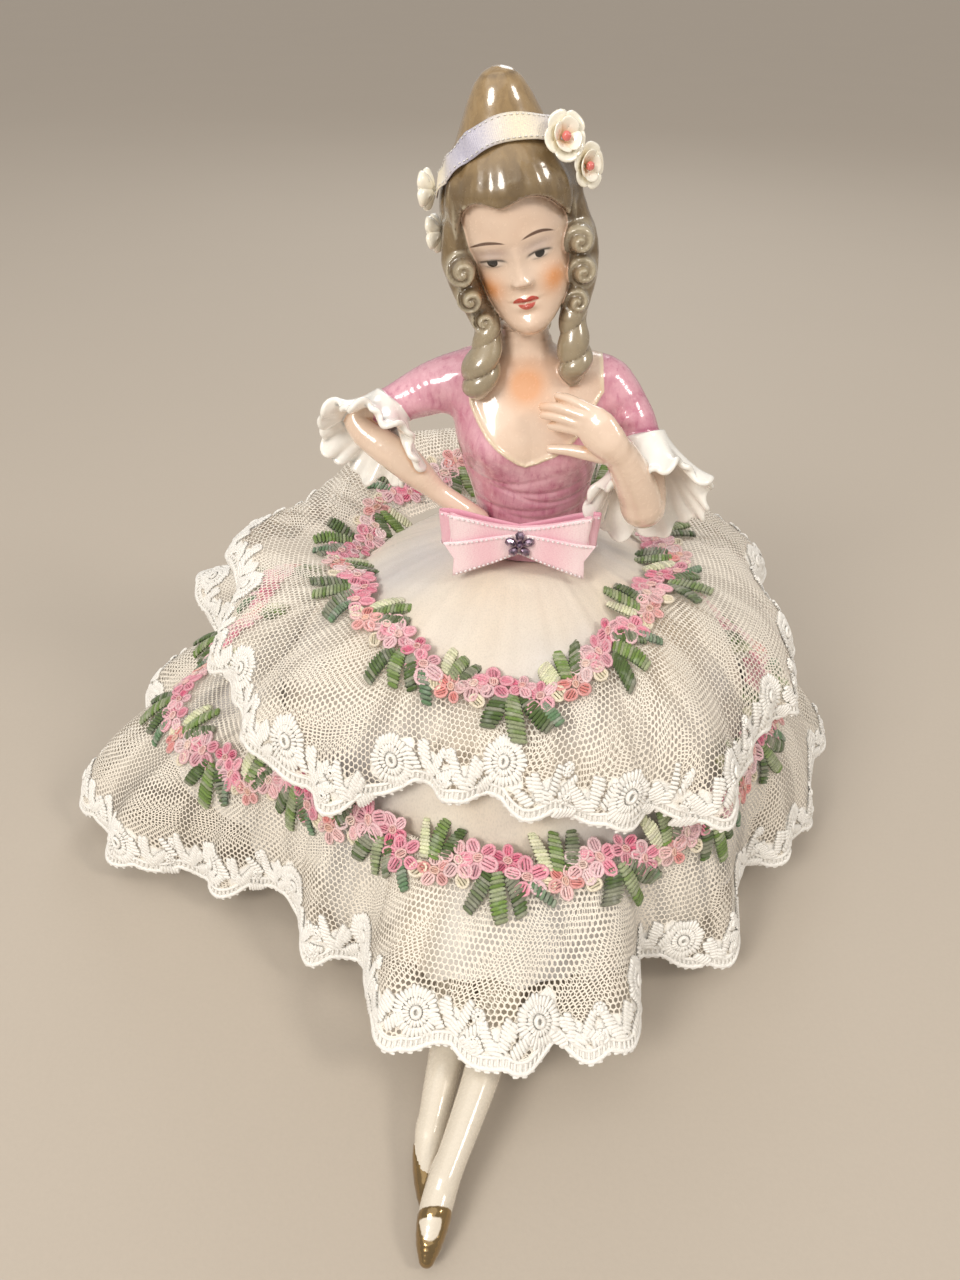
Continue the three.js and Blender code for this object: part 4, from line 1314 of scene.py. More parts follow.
# Stations x, y, z, radius, from the cushion out to the toe
LEFT_LEG = [
    (-1.6, -62, 23, 6.4), (-2, -76, 20.5, 6), (-4, -90, 17.6, 5.2), (-7, -104, 14.6, 4.5),
    (-11.4, -117, 11.8, 3.8), (-15.4, -127.4, 9, 3.3),
]
LEFT_SHOE = [
    (-15, -125.4, 8.6, 3.4), (-16.4, -130, 6.9, 3.6), (-17.4, -134, 5.6, 3.5),
    (-18.2, -138.4, 4.0, 2.7), (-18.6, -141.4, 3.1, 1.5),
]
RIGHT_LEG = [
    (-12, -62, 17, 6.2), (-13, -76, 15.6, 5.8), (-15, -92, 12.4, 4.8), (-17.4, -106, 9.4, 4),
    (-19.2, -116, 6.9, 3.3),
]
RIGHT_SHOE = [
    (-19.2, -115, 6.8, 3.3), (-19.6, -121, 5, 3.3), (-18.9, -128.4, 3.5, 2.6),
    (-17.8, -133.6, 2.5, 1.5),
]


def cushion_radius(z):
    """Radius of the cushion at a height."""
    above = CUSHION_RADIUS * np.sqrt(np.maximum(0, 1 - ((z - WIDEST_Z) / DOME_RISE) ** 2))
    below = mix(CUSHION_RADIUS, CUSHION_FOOT, np.clip(1 - z / WIDEST_Z, 0, 1) ** 2.4)
    return np.where(z > WIDEST_Z, above, below)


# Open throat of the left shoe: middle x and y, half width, half length
THROAT = (-18.0, -135.4, 2.4, 3.9)
STRAP_TOP = 4.4  # the throat opens above this height
LEFT_SHOE_EDGE, RIGHT_SHOE_EDGE = -133.5, -118.6  # where the lustre starts along Y
SHOE_RISE = 0.22  # how far the lustre stands out over the foot
LEG_TRIANGLES = 24000
LEG_BOX = ((-26, -146, 0.2), (8, -60, 32))
LEG_PITCH, QUICK_LEG_PITCH = 0.9, 1.4  # against the pitch of the doll


def lustre_distance(p):
    """Distance inside the gold lustre of the shoes, negative on the bare porcelain."""
    x, y, z = p.T
    middle_x, middle_y, wide, long = THROAT
    oval_throat = 2.2 * (np.hypot((x - middle_x) / wide, (y - middle_y) / long) - 1)
    open_throat = np.where(z > STRAP_TOP, np.maximum(oval_throat, y - middle_y), 2.0)
    left = np.minimum(LEFT_SHOE_EDGE - y, open_throat)
    right = np.where((x < -16) & (z < 7.2), RIGHT_SHOE_EDGE - y, -3.0)
    on_left = limb(p, LEFT_SHOE) < limb(p, RIGHT_SHOE)
    return np.where(on_left, left, right)


def leg_distance(p):
    """Distance to the crossed legs, cut off where they meet the cushion."""
    bare = joined(limb(p, LEFT_LEG), limb(p, RIGHT_LEG), 0.6)
    shoes = np.minimum(limb(p, LEFT_SHOE), limb(p, RIGHT_SHOE))
    d = joined(bare, shoes - 0.06, 0.9)
    d = joined(d, np.where(lustre_distance(p) > 0.15, shoes - SHOE_RISE, FAR), 0.3)
    r = np.hypot(p[:, 0], p[:, 1])
    return np.maximum(d, cushion_radius(p[:, 2]) + GAP - r)


class HALFDOLL_OT_legs(bpy.types.Operator):
    """Builds the crossed porcelain legs in their gold lustre shoes"""

    bl_idname = "halfdoll.legs"
    bl_label = "Legs"

    def execute(self, context):
        pitch = sizes().porcelain_pitch / MM * LEG_PITCH
        points, quads = surface_of(leg_distance, *LEG_BOX, pitch)
        points, outward = settled(points, leg_distance)
        cavity, _ = relief_values(points, leg_distance, outward)
        shoe = lustre_distance(points)
        piece = add_mesh("glazed_legs", points, quads, leg_glaze(), cavity=cavity, shoe=shoe)
        thinned(piece, LEG_TRIANGLES)
        place(piece, "legs")
        return {"FINISHED"}


# Gathered lace

# Seams on the cushion: azimuth in degrees from the front, height
UPPER_SEAM = [
    (-180, 91), (-150, 90), (-127, 85.5), (-108, 83.5), (-74, 88), (-56, 88.5), (-36, 86.5),
    (-12, 84), (2, 83.6), (13, 86), (24, 88), (37, 91.5), (55, 93), (95, 91), (130, 88.5),
    (180, 91),
]
LOWER_SEAM = [(-180, 55), (-110, 57), (-45, 57), (-18, 52), (30, 51), (80, 54), (180, 55)]
# Hems: azimuth in degrees, reach beyond the widest part of the cushion, height
UPPER_HEM = [
    (-180, 12, 62), (-157, 5, 70), (-138, 13, 68), (-121, 6, 76), (-103, 14, 79), (-90, 8, 73),
    (-76, 11.5, 65), (-63, 6, 63), (-52, 9, 60), (-39, 5, 58), (-24, -6.4, 64), (-8, -6.6, 66),
    (3, -4, 64), (17, -3, 60.5), (24, -1.5, 59), (38, 7.4, 57), (50, -1.5, 60.5), (66, 2, 61),
    (79, 6.2, 60.5), (100, 0.8, 70), (117, 9, 72), (134, 2, 70), (152, 10, 64), (167, 2, 66),
    (180, 12, 62),
]
LOWER_HEM = [
    (-180, 28, 8), (-166, 14, 15), (-151, 31, 8), (-137, 22, 26), (-118, 50, 47), (-108, 32, 34),
    (-98, 47, 26), (-93, 41, 20), (-84, 63, 8), (-74, 49, 9), (-61, 25, 7), (-51, 9, 16),
    (-38, 15.5, 11), (-29, 11, 14), (-17, 31, 20), (-2, 35, 23), (13, 31, 20.5), (26, 7.5, 14),
    (38, 14, 9), (58, 5.5, 14), (74, 18, 11), (100, 27, 22), (114, 14, 22), (130, 28, 14),
    (147, 12, 14), (163, 29, 8), (180, 28, 8),
]
LINING_HEM = [
    (-180, 10, 9), (-130, 18, 24), (-100, 31, 26), (-85, 33, 27), (-62, 12, 20), (-48, 4.5, 12),
    (-28, 6, 12), (-8, 18, 29), (4, 16, 27), (25, 4, 10), (60, 3, 9), (95, 9, 20), (120, 5, 12),
    (180, 10, 9),
]
# How far a tier puffs out before it falls: azimuth, share
UPPER_PUFF = [(-180, 0.95), (180, 0.95)]
LOWER_PUFF = [(-180, 0.55), (-120, 0.75), (-60, 0.75), (-30, 0.4), (30, 0.35), (80, 0.7), (180, 0.55)]
LINING_PUFF = [(-180, 0.3), (180, 0.3)]
# How high a tier arches between seam and hem: azimuth, height
UPPER_RISE = [
    (-180, 17), (-150, 19), (-118, 10), (-92, 3), (-70, 0), (75, 0), (110, 3), (140, 10),
    (180, 17),
]
NO_RISE = [(-180, 0), (180, 0)]
# How far down its tier a garland lies: azimuth, share of the cloth
UPPER_GARLAND = [(-180, 0.12), (-145, 0.12), (-110, 0.04), (110, 0.04), (180, 0.12)]
LOWER_GARLAND = [(-180, 0.08), (-125, 0.3), (-100, 0.3), (-62, 0.38), (-45, 0.24), (-25, 0.08), (180, 0.08)]


SCALLOP = 13.0  # width of one scallop of the hem
SCALLOP_DEPTH = 2.2
LINING_LIFT = GAP + 0.8
LACE_LIFT = GAP + 1


def layer_radius(z, lift):
    """Radius of a layer of cloth a little off the cushion."""
    slope = cushion_radius(z - 0.5) - cushion_radius(z + 0.5)
    return cushion_radius(z) + lift * np.hypot(1, slope)


class Tier:
    """A flounce gathered to the cushion, as a map from its flat cloth to where it hangs."""

    def __init__(
        self, seam, hem, puff, lift, rise=NO_RISE, below=0.0, folds=(), scallop=0.0, columns=840, rows=44
    ):
        self.seam, self.hem, self.puff, self.rise, self.folds = seam, hem, puff, rise, folds
        self.lift, self.below, self.scallop = lift, below, scallop
        self.columns, self.rows = columns, rows
        self.azimuth = np.linspace(-180, 180, columns, endpoint=False)
        self.share = np.linspace(0, 1, rows)
        a, t = np.meshgrid(self.azimuth, self.share, indexing="ij")
        self.points = self.bare(a, t)
        step = np.linalg.norm(np.diff(self.points, axis=1), axis=2)
        self.down = np.concatenate([np.zeros((columns, 1)), np.cumsum(step, 1)], 1)
        ring = np.linalg.norm(np.roll(self.points, -1, 0) - self.points, axis=2)
        self.across = np.concatenate([[0], np.cumsum(ring[:, int(rows * 0.8)])])
        self.length = self.across[-1]

    def bare(self, a, t):
        """The hanging surface, with its small folds."""
        seam = along(self.seam, a) - self.below
        puff = along(self.puff, a)
        out = mix(t, np.sin(t * np.pi / 2), puff)
        drop = mix(t, 1 - np.cos(t * np.pi / 2), puff)
        z = mix(seam, along(self.hem, a, 2), drop) + along(self.rise, a) * np.sin(np.pi * t)
        r = mix(layer_radius(seam, self.lift), CUSHION_RADIUS + along(self.hem, a, 1), out)
        angle = np.radians(a)
        ripple = 0 * a
        for count, height, grows, phase, sway in self.folds:
            turn = angle * count + phase + sway * np.sin(angle * 3 + phase) + 1.1 * t * np.sin(angle * 5)
            near = np.sin(np.pi * np.clip(t, 0, 1) ** 0.5) if grows == 0 else t**grows
            ripple = ripple + height * near * (np.sin(turn) + 0.5)
        r = np.maximum(r + ripple * (0.45 + 0.55 * drop), layer_radius(z, self.lift))
        z = z - ripple * 0.35 * out
        return np.stack([np.sin(angle) * r, -np.cos(angle) * r, z], -1)

    def place(self, u, v, lift=0.0):
        """Points at u round the hem and v down from the seam, and the outward direction there."""
        u, v = np.broadcast_arrays(np.asarray(u, float), np.asarray(v, float))
        shape = u.shape
        u, v = u.ravel() % self.length, v.ravel()
        i = np.clip(np.searchsorted(self.across, u, side="right") - 1, 0, self.columns - 1)
        s = (u - self.across[i]) / (self.across[i + 1] - self.across[i])
        k = (i + 1) % self.columns
        down = mix(self.down[i], self.down[k], s[:, None])
        j = np.clip((down <= v[:, None]).sum(1) - 1, 0, self.rows - 2)
        rows = np.arange(len(u))
        w = (v - down[rows, j]) / (down[rows, j + 1] - down[rows, j])
        p = self.points
        top = mix(p[i, j], p[k, j], s[:, None])
        low = mix(p[i, j + 1], p[k, j + 1], s[:, None])
        ahead = mix(p[k, j] - p[i, j], p[k, j + 1] - p[i, j + 1], np.clip(w, 0, 1)[:, None])
        normal = unit(np.cross(low - top, ahead))
        at = mix(top, low, w[:, None])
        flip = ((at - CUSHION_MIDDLE) * normal).sum(1) < 0
        normal[flip] *= -1
        at = at + normal * np.broadcast_to(lift, shape).ravel()[:, None]
        return at.reshape(*shape, 3), normal.reshape(*shape, 3)

    def depth(self, u):
        """Length of the cloth from the seam to the hem at u."""
        return np.interp(np.asarray(u) % self.length, self.across[:-1], self.down[:, -1], period=self.length)

    def edge(self, u):
        """Where the scalloped edge is, down from the seam."""
        waves = round(self.length / SCALLOP)
        arch = np.abs(np.sin(np.pi * waves * np.asarray(u) / self.length))
        return self.depth(u) - self.scallop * (1 - arch)

    def sheet(self, name, finish, thickness=0.0, cuts=34):
        """The cloth as a mesh, with its flat place in millimetres as UV."""
        u = self.across[:-1]
        v = np.linspace(0, 1, cuts)[None] * (self.edge(u)[:, None] - 0.02)
        u, v = np.broadcast_arrays(u[:, None], v)
        points, normal = self.place(u, v)
        flat = np.stack([u, v], -1).reshape(-1, 2)
        faces = grid_faces(self.columns, cuts, rows_closed=True)
        points = points.reshape(-1, 3)
        if thickness:
            inner = points - thickness * normal.reshape(-1, 3)
            ends = np.arange(self.columns) * cuts
            rims = []
            for row, way in ((0, 1), (cuts - 1, -1)):
                a, b = ends + row, np.roll(ends, -1) + row
                rims.append(np.stack([a, b, b + len(points), a + len(points)][::way], 1))
            faces = np.concatenate([faces[:, ::-1], faces + len(points), *rims])
            points, flat = np.concatenate([points, inner]), np.concatenate([flat, flat])
        piece = add_mesh(name, points, faces, finish, uv=flat)
        # the cloth's last column meets its first, so their shared faces count on past the end
        layer = piece.data.uv_layers["cloth"].data
        co = np.zeros(len(layer) * 2, np.float32)
        layer.foreach_get("uv", co)
        co = co.reshape(-1, faces.shape[1], 2)
        wraps = (co[:, :, 0].max(1) - co[:, :, 0].min(1)) > self.length / 2
        co[wraps, :, 0] += np.where(co[wraps, :, 0] < self.length / 2, self.length, 0)
        layer.foreach_set("uv", co.ravel())
        return piece


# Folds of a tier: how many round it, height, growth down the cloth (0 for gathers), start, sway
UPPER = Tier(
    UPPER_SEAM, UPPER_HEM, UPPER_PUFF, LACE_LIFT, UPPER_RISE, scallop=SCALLOP_DEPTH,
    folds=((17, 2.0, 0.9, 0.4, 1.6), (31, 1.1, 1.2, 2.0, 2.0), (96, 0.34, 0, 0.0, 0.6)),
)
LOWER = Tier(
    LOWER_SEAM, LOWER_HEM, LOWER_PUFF, LINING_LIFT + LACE_LIFT, scallop=SCALLOP_DEPTH,
    folds=((19, 2.2, 1.0, 1.1, 1.5), (35, 1.0, 1.3, 0.3, 1.9), (110, 0.34, 0, 0.0, 0.6)),
)
LINING = Tier(
    LOWER_SEAM, LINING_HEM, LINING_PUFF, LINING_LIFT, below=3,
    folds=((19, 1.0, 1.2, 0.4, 1.2), (47, 0.5, 1.0, 0.6, 1.0)), columns=480, rows=24,
)


def lace_net(name, mesh, thread, colour):
    """Fine hexagonal net: open between its threads, closed where it is worked."""
    f = Finish(name, roughness=0.75, sheen_weight=0.3)
    u, v, _ = f.parts(f.flat())
    wobble = f.noise(f.flat(), 0.35, 2.0)
    u = u + (wobble - 0.5) * 0.7
    v = v + (f.noise(f.flat(), 0.28, 2.0) - 0.5) * 0.6
    width, height = mesh, mesh * math.sqrt(3)
    fray = (f.noise(f.flat(), 3.0, 2.0) - 0.5) * 0.08

    def threads(u, v):
        """1 on the threads between the cells of the net."""

        def nearest(shift):
            a = abs((u + shift * width / 2).modulo(width) - width / 2)
            b = abs((v + shift * height / 2).modulo(height) - height / 2)
            return a.most(a * 0.5 + b * (math.sqrt(3) / 2))

        wall = width / 2 - nearest(0.0).least(nearest(1.0))
        return 1 - (wall + fray).rise(thread * 0.32, thread * 0.62)

    # where the gathers lie over each other the net is seen twice
    gathers = f.noise(f.stretched(f.flat(), (0.085, 0.012, 1.0)), 1.0, 2.0, 0.5).rise(0.4, 0.52)
    lines = threads(u, v).most(threads(u * 1.08 + v * 0.13 + 0.7, v * 0.95 - u * 0.05 + 0.5) * gathers)
    worked = f.attribute("worked")
    alpha = (lines * 0.96).most(worked.rise(0.35, 0.6)).least(1.0)
    tone = f.noise(f.flat(), 0.05, 3.0)
    tint = f.blend(colour, screen(238, 222, 198), (tone - 0.42).most(0.0))
    tint = f.blend(tint, screen(254, 252, 247), (lines * 0.35).most(worked))
    f.paint(base_color=tint, alpha=alpha)
    twine = (u * 9.0 + v * 7.0).sine() * 0.5 + 0.5
    f.bump(lines + 0.3 * twine, 0.00015, 0.6)
    return f.material


def thread_finish(name, shine=0.35, depth=0.55):
    """Embroidery thread: the tint of each stitch, with painted shade between its twisted strands."""
    f = Finish(name, roughness=0.5, sheen_weight=shine)
    at = f.place()
    tint = f.attribute("tint", "Vector")
    strand = f.noise(at, 2600.0, 2.0, 0.6)
    patch = f.noise(at, 420.0, 2.0)
    # painted shade between the strands, deeper as depth grows
    colour = f.blend(tint, f.blend(tint, (0.02, 0.015, 0.01), depth), (0.62 - strand).most(0.0) * 2.2)
    colour = f.blend(colour, (1, 1, 1), (patch - 0.52).most(0.0) * 0.7)
    f.paint(base_color=colour, roughness=0.42 + 0.3 * strand)
    f.bump(strand, 0.00022, 0.9)
    return f.material


WHITE_THREAD = np.array(screen(255, 253, 248))


WORK_LIFT = 0.25  # the white work off the net


def rosette(parts, tier, u, v, size, rng):
    """A white rosette: a corded eye in two rings of close satin stitches."""
    angle = np.linspace(0, 2 * np.pi, 9, endpoint=False)
    eye = size * 0.15 + 0.25
    path, normal = tier.place(u + eye * np.cos(angle), v + eye * np.sin(angle), WORK_LIFT + 0.7)
    cord(parts, path, normal, 0.2 + size * 0.055, WHITE_THREAD)
    for near, far, each, high in ((0.3, 0.6, 0.85, 0.95), (0.56, 1.0, 1.0, 0.75)):
        n = max(8, round(2 * np.pi * size * (near + far) / 2 / each))
        angle = np.linspace(0, 2 * np.pi, n, endpoint=False) + rng.uniform(0, 1)
        reach = size * far * (0.97 + 0.05 * np.cos(angle * 7) + rng.uniform(-0.03, 0.03, n))
        x, y = np.cos(angle), np.sin(angle)
        start, normal = tier.place(u + size * near * x, v + size * near * y, WORK_LIFT)
        end, _ = tier.place(u + reach * x, v + reach * y, WORK_LIFT)
        add_stitches(parts, start, end, normal, each * 0.66, high, WHITE_THREAD)


def plump_bar(parts, tier, u, v, lean, long, wide, rng):
    """A plump bar of satin stitches laid across its length."""
    n = max(3, round(long / 0.95))
    s = (np.arange(n) + 0.5) / n
    half = wide / 2 * np.sin(np.pi * (0.2 + 0.66 * s)) ** 0.7 * rng.uniform(0.92, 1.08, n)
    x, y = u + long * s * np.sin(lean), v - long * s * np.cos(lean)
    across, down = half * np.cos(lean + 0.35), half * np.sin(lean + 0.35)
    start, normal = tier.place(x - across, y - down, WORK_LIFT)
    end, _ = tier.place(x + across, y + down, WORK_LIFT)
    add_stitches(parts, start, end, normal, long / n * 0.68, 0.9, WHITE_THREAD)


# Bars of a sprig from the border up: across, up, lean, length, width
SPRIG = [
    (-3.4, 0.2, -1.0, 5.2, 3.0), (-1.4, 1.0, -0.4, 7.0, 3.0), (1.0, 0.9, 0.2, 7.4, 2.9),
    (3.1, 0.3, 0.85, 5.6, 2.8), (-0.2, 0.0, 0.0, 3.0, 3.8), (-3.0, 3.6, -0.5, 3.6, 2.4),
]


def sprig(parts, tier, u, v, size, way, rng):
    """A leafy sprig of plump bars, leaning one way."""
    for x, y, lean, long, wide in SPRIG:
        foot = (u + way * x * size, v - y * size)
        plump_bar(parts, tier, *foot, way * (lean + 0.22), long * size, wide * size, rng)


BORDER = 3.0  # depth of the corded border


def round_hem(tier, pitch):
    """Places about one pitch apart round the hem."""
    return np.linspace(0, tier.length, int(tier.length / pitch), endpoint=False)


def lace_border(parts, tier):
    """The corded scallops of the hem, a ladder of close bars between the cords, and picots."""
    u = round_hem(tier, 1.1)
    for inset, thick in ((0.45, 0.72), (BORDER, 0.52)):
        path, normal = tier.place(u, tier.edge(u) - inset, 0.15)
        cord(parts, path, normal, thick, WHITE_THREAD, twist=0.14)
    u = round_hem(tier, 1.25)
    start, normal = tier.place(u, tier.edge(u) - BORDER, 0.1)
    end, _ = tier.place(u, tier.edge(u) - 0.3, 0.1)
    add_stitches(parts, start, end, normal, 0.46, 0.56, WHITE_THREAD)
    u = round_hem(tier, 2.1)
    start, normal = tier.place(u - 0.7, tier.edge(u) + 0.3, 0)
    end, _ = tier.place(u + 0.7, tier.edge(u) + 0.3, 0)
    add_stitches(parts, start, end, normal, 0.5, 0.5, WHITE_THREAD)


ROSETTE_SPACING = 31
ROSETTE_RADIUS = 6.3
ROSETTE_UP = 9.4  # middle of a rosette above the hem
SPRIG_PLACES = (10.4, 20.6)  # from one rosette towards the next
BUD_PLACE = 15.5


def lace_work(name, tier, finish):
    """The white embroidery of a tier: rosettes, sprigs, buds and the corded border."""
    rng = np.random.default_rng(SEED)
    parts = Parts()
    count = round(tier.length / ROSETTE_SPACING)

    def base(u):
        return float(tier.edge(u)) - BORDER

    for i in range(count):
        u = tier.length * (i + 0.5) / count
        rosette(parts, tier, u, float(tier.edge(u)) - ROSETTE_UP, ROSETTE_RADIUS, rng)
        for across, way, size in zip(SPRIG_PLACES, (1, -1), (1.0, 1.06)):
            at = u + across * tier.length / count / ROSETTE_SPACING
            sprig(parts, tier, at, base(at) - 0.4, size, way, rng)
        at = u + BUD_PLACE * tier.length / count / ROSETTE_SPACING
        rosette(parts, tier, at, base(at) - 2.3, 2.0, rng)
        rosette(parts, tier, at + 0.6, base(at) - 8.6, 1.8, rng)
    lace_border(parts, tier)
    return parts.build(name, finish)


def worked_share(tier, piece):
    """How far the work closes the net at each point of a tier."""
    count = tier.columns
    rows = len(piece.data.vertices) // count
    u = np.repeat(tier.across[:-1], rows)
    edge = tier.edge(u)
    v = np.tile(np.linspace(0, 1, rows), count) * edge
    spacing = tier.length / round(tier.length / ROSETTE_SPACING)
    off = (u % spacing) - spacing / 2
    closed = smooth((ROSETTE_RADIUS - 0.6 - np.hypot(off, v - (edge - ROSETTE_UP))) / 0.8)
    between = (off / spacing) % 1
    for at, wide in ((SPRIG_PLACES[0], 4.4), (BUD_PLACE, 2.2), (SPRIG_PLACES[1], 4.4)):
        away = (between - at / ROSETTE_SPACING) * spacing
        motif = smooth(2.4 * (1 - np.hypot(away / wide, (v - edge + BORDER + 3.4) / 3.6)))
        closed = np.maximum(closed, motif)
    border = smooth((v - edge + BORDER + 0.6) / 0.6)
    return np.maximum(closed, border)


class HALFDOLL_OT_lace(bpy.types.Operator):
    """Hangs the two gathered lace tiers with their white embroidery"""

    bl_idname = "halfdoll.lace"
    bl_label = "Lace tiers"

    def execute(self, context):
        mesh, thread_width = sizes().net_mesh / MM, sizes().thread / MM
        net = lace_net("hexagonal_net", mesh, thread_width, tuple(colours().lace))
        thread = thread_finish("white_thread", 0.3, 0.18)
        for tier, side, node in ((UPPER, "upper", "upper_ruffle"), (LOWER, "lower", "lower_ruffle")):
            piece = tier.sheet(f"{side}_lace", net)
            add_values(piece.data, {"worked": worked_share(tier, piece)})
            place(piece, node)
            work = place(lace_work(f"{side}_lace_work", tier, thread), None)
        return {"FINISHED"}


def satin(name, colour, warp, sheen, roughness):
    """Woven satin: fine floats along the cloth, with soft changes of tone and broad patches of painted shade
    and painted glow.
    """
    f = Finish(name, sheen_weight=sheen, specular_ior_level=0.6)
    at = f.place()
    floats = f.noise(f.stretched(at, warp), 2600.0, 2.0, 0.6)
    cloudy = f.noise(at, 38.0, 3.0)
    dark = tuple(c * 0.72 for c in colour)
    # painted cool shade and painted warm glow, in broad patches
    drift = f.noise(f.stretched(at, (1.0, 1.0, 0.5)), 30.0, 2.0, 0.4)
    tint = f.blend(colour, screen(204, 206, 214), (drift - 0.47).most(0.0) * 3.2)
    tint = f.blend(tint, screen(236, 214, 182), (0.46 - drift).most(0.0) * 2.6)
    tint = f.blend(tint, dark, (cloudy - 0.42).most(0.0) * 1.3)
    tint = f.blend(tint, dark, (0.55 - floats).most(0.0) * 1.6)
    f.paint(base_color=tint, roughness=roughness + 0.25 * floats)
    f.bump(floats, 0.00012, 0.5)
    return f.material


class HALFDOLL_OT_lining(bpy.types.Operator):
    """Hangs the satin lining flounce under the lower lace"""

    bl_idname = "halfdoll.lining"
    bl_label = "Lining flounce"

    def execute(self, context):
        cloth = satin("lining_satin", screen(240, 236, 230), (1.0, 1.0, 0.35), 0.35, 0.38)
        piece = LINING.sheet("lining_flounce_satin", cloth, thickness=0.5, cuts=26)
        place(piece, "lining_flounce")
        return {"FINISHED"}


CUSHION_MESH = (288, 96)  # columns round the cushion, rows up it
# Soft folds under the seat: how many round it, height, start
CUSHION_FOLDS = ((9, 0.55, 0.3), (14, 0.45, 1.9), (31, 0.22, 0.0), (52, 0.14, 2.0))


def cushion_side():
    """Points up the side of the cushion, column by column, from foot to seat."""
    columns, rows = CUSHION_MESH
    azimuth = np.linspace(-np.pi, np.pi, columns, endpoint=False)
    # heights close together at the foot and the seat, where the cloth turns
    z = SEAT_Z * (1 - np.cos(np.linspace(0, np.pi, rows))) / 2
    a, z = np.meshgrid(azimuth, z, indexing="ij")
    top = smooth((z - 62) / 30)
    folds = 0
    for count, height, phase in CUSHION_FOLDS:
        folds = folds + height * np.sin(count * a + phase + 0.5 * np.sin(3 * a) + z / 60)
    r = cushion_radius(z) - (0.35 + (folds + 1.3) * top * 0.95 * smooth((SEAT_Z - z) / 2))
    return np.stack([np.sin(a) * r, -np.cos(a) * r, z], -1).reshape(-1, 3)


def closed_end(points, row, height, first):
    """Rings and their quads that close one flat end, so the cloth shows no fan of creases."""
    columns, rows = CUSHION_MESH
    way = -1 if row == 0 else 1
    last = np.arange(columns) * rows + row
    edge = points[last]
    rings, quads = [], []
    for share in (0.66, 0.33, 0.05):
        ring = edge * np.array([share, share, 1])
        ring[:, 2] = height
        ids = np.arange(columns) + first + len(rings) * columns
        rings.append(ring)
        quads.append(np.stack([last, np.roll(last, -1), np.roll(ids, -1), ids], 1)[:, ::way])
        last = ids
    middle = np.full(columns // 2, first + len(rings) * columns)
    rings.append(rings[-1].mean(0)[None])
    quads.append(np.stack([last[::2], last[1::2], np.roll(last, -2)[::2], middle], 1)[:, ::way])
    return np.concatenate(rings), np.concatenate(quads)


class HALFDOLL_OT_cushion(bpy.types.Operator):
    """Builds the stuffed satin cushion with its soft upright folds"""

    bl_idname = "halfdoll.cushion"
    bl_label = "Cushion"

    def execute(self, context):
        columns, rows = CUSHION_MESH
        points = cushion_side()
        faces = [grid_faces(columns, rows, rows_closed=True)[:, ::-1]]
        for row, height in ((0, 0.0), (rows - 1, SEAT_Z)):
            rings, quads = closed_end(points, row, height, len(points))
            points = np.concatenate([points, rings])
            faces.append(quads)
        cloth = satin("cushion_satin", tuple(colours().satin), (1.0, 1.0, 0.3), 0.3, 0.36)
        piece = add_mesh("stuffed_cushion", points, np.concatenate(faces), cloth)
        place(piece, "cushion")
        return {"FINISHED"}


# Garlands

ROSE = np.array(screen(236, 112, 148))
PINK = np.array(screen(246, 152, 176))
SALMON = np.array(screen(240, 148, 142))
PALE_PINK = np.array(screen(250, 200, 204))
CREAM_THREAD = np.array(screen(246, 236, 206))
DEEP_GREEN = np.array(screen(78, 104, 44))
LEAF_GREEN = np.array(screen(114, 144, 64))
PALE_GREEN = np.array(screen(226, 230, 190))
BLUE_GREEN = np.array(screen(98, 134, 96))
# pinkish white for paler stitches, also used as painted highlight on the ribs of the leaves
PALE_THREAD_AND_HIGHLIGHT = np.array(screen(255, 238, 238))


def worked_petal(parts, tier, u, v, turn, size, tint, rng, lift):
    """A plump petal: a cord round its edge over close stitches that run out from the heart."""
    c, sn = np.cos(turn), np.sin(turn)

    def at(x, y, rise):
        return tier.place(u + x * c - y * sn, v + x * sn + y * c, rise)

    angle = np.linspace(0, 2 * np.pi, 10, endpoint=False)
    path, normal = at(size * 0.86 * np.cos(angle), size * 0.7 * np.sin(angle), lift + 0.3)
    cord(parts, path, normal, size * 0.2, np.clip(mix(tint, PALE_THREAD_AND_HIGHLIGHT, 0.22), 0, 1), twist=0.12)
    y = np.linspace(-0.5, 0.5, 4) * size
    reach = 0.8 * np.sqrt(np.maximum(size**2 - (y / 0.7) ** 2, 0))
    start, normal = at(-reach, y, lift)
    end, _ = at(reach, y, lift)
    shade = np.clip(tint[None] * rng.uniform(0.72, 1.12, (4, 1)), 0, 1)
    add_stitches(parts, start, end, normal, size * 0.2, size * 0.3, shade)


def blossom(parts, tier, u, v, size, tint, rng, lift):
    """Five plump petals of uneven tint round a small corded heart."""
    spin = rng.uniform(0, 2 * np.pi)
    for k in range(5):
        turn = spin + 2 * np.pi * k / 5 + rng.uniform(-0.12, 0.12)
        reach = size * rng.uniform(1.3, 1.5)
        light = rng.choice([0, 0, 0.25, 0.55])
        shade = np.clip(mix(tint, PALE_THREAD_AND_HIGHLIGHT, light) * rng.uniform(0.86, 1.06), 0, 1)
        x, y = u + reach * np.cos(turn), v + reach * np.sin(turn)
        each = size * rng.uniform(0.86, 1.1)
        high = lift + rng.uniform(-0.15, 0.2)
        worked_petal(parts, tier, x, y, turn, each, shade, rng, high)
    heart = np.clip(mix(tint, CREAM_THREAD, 0.45), 0, 1)
    worked_petal(parts, tier, u, v, spin, size * 0.62, heart, rng, lift + 0.5)


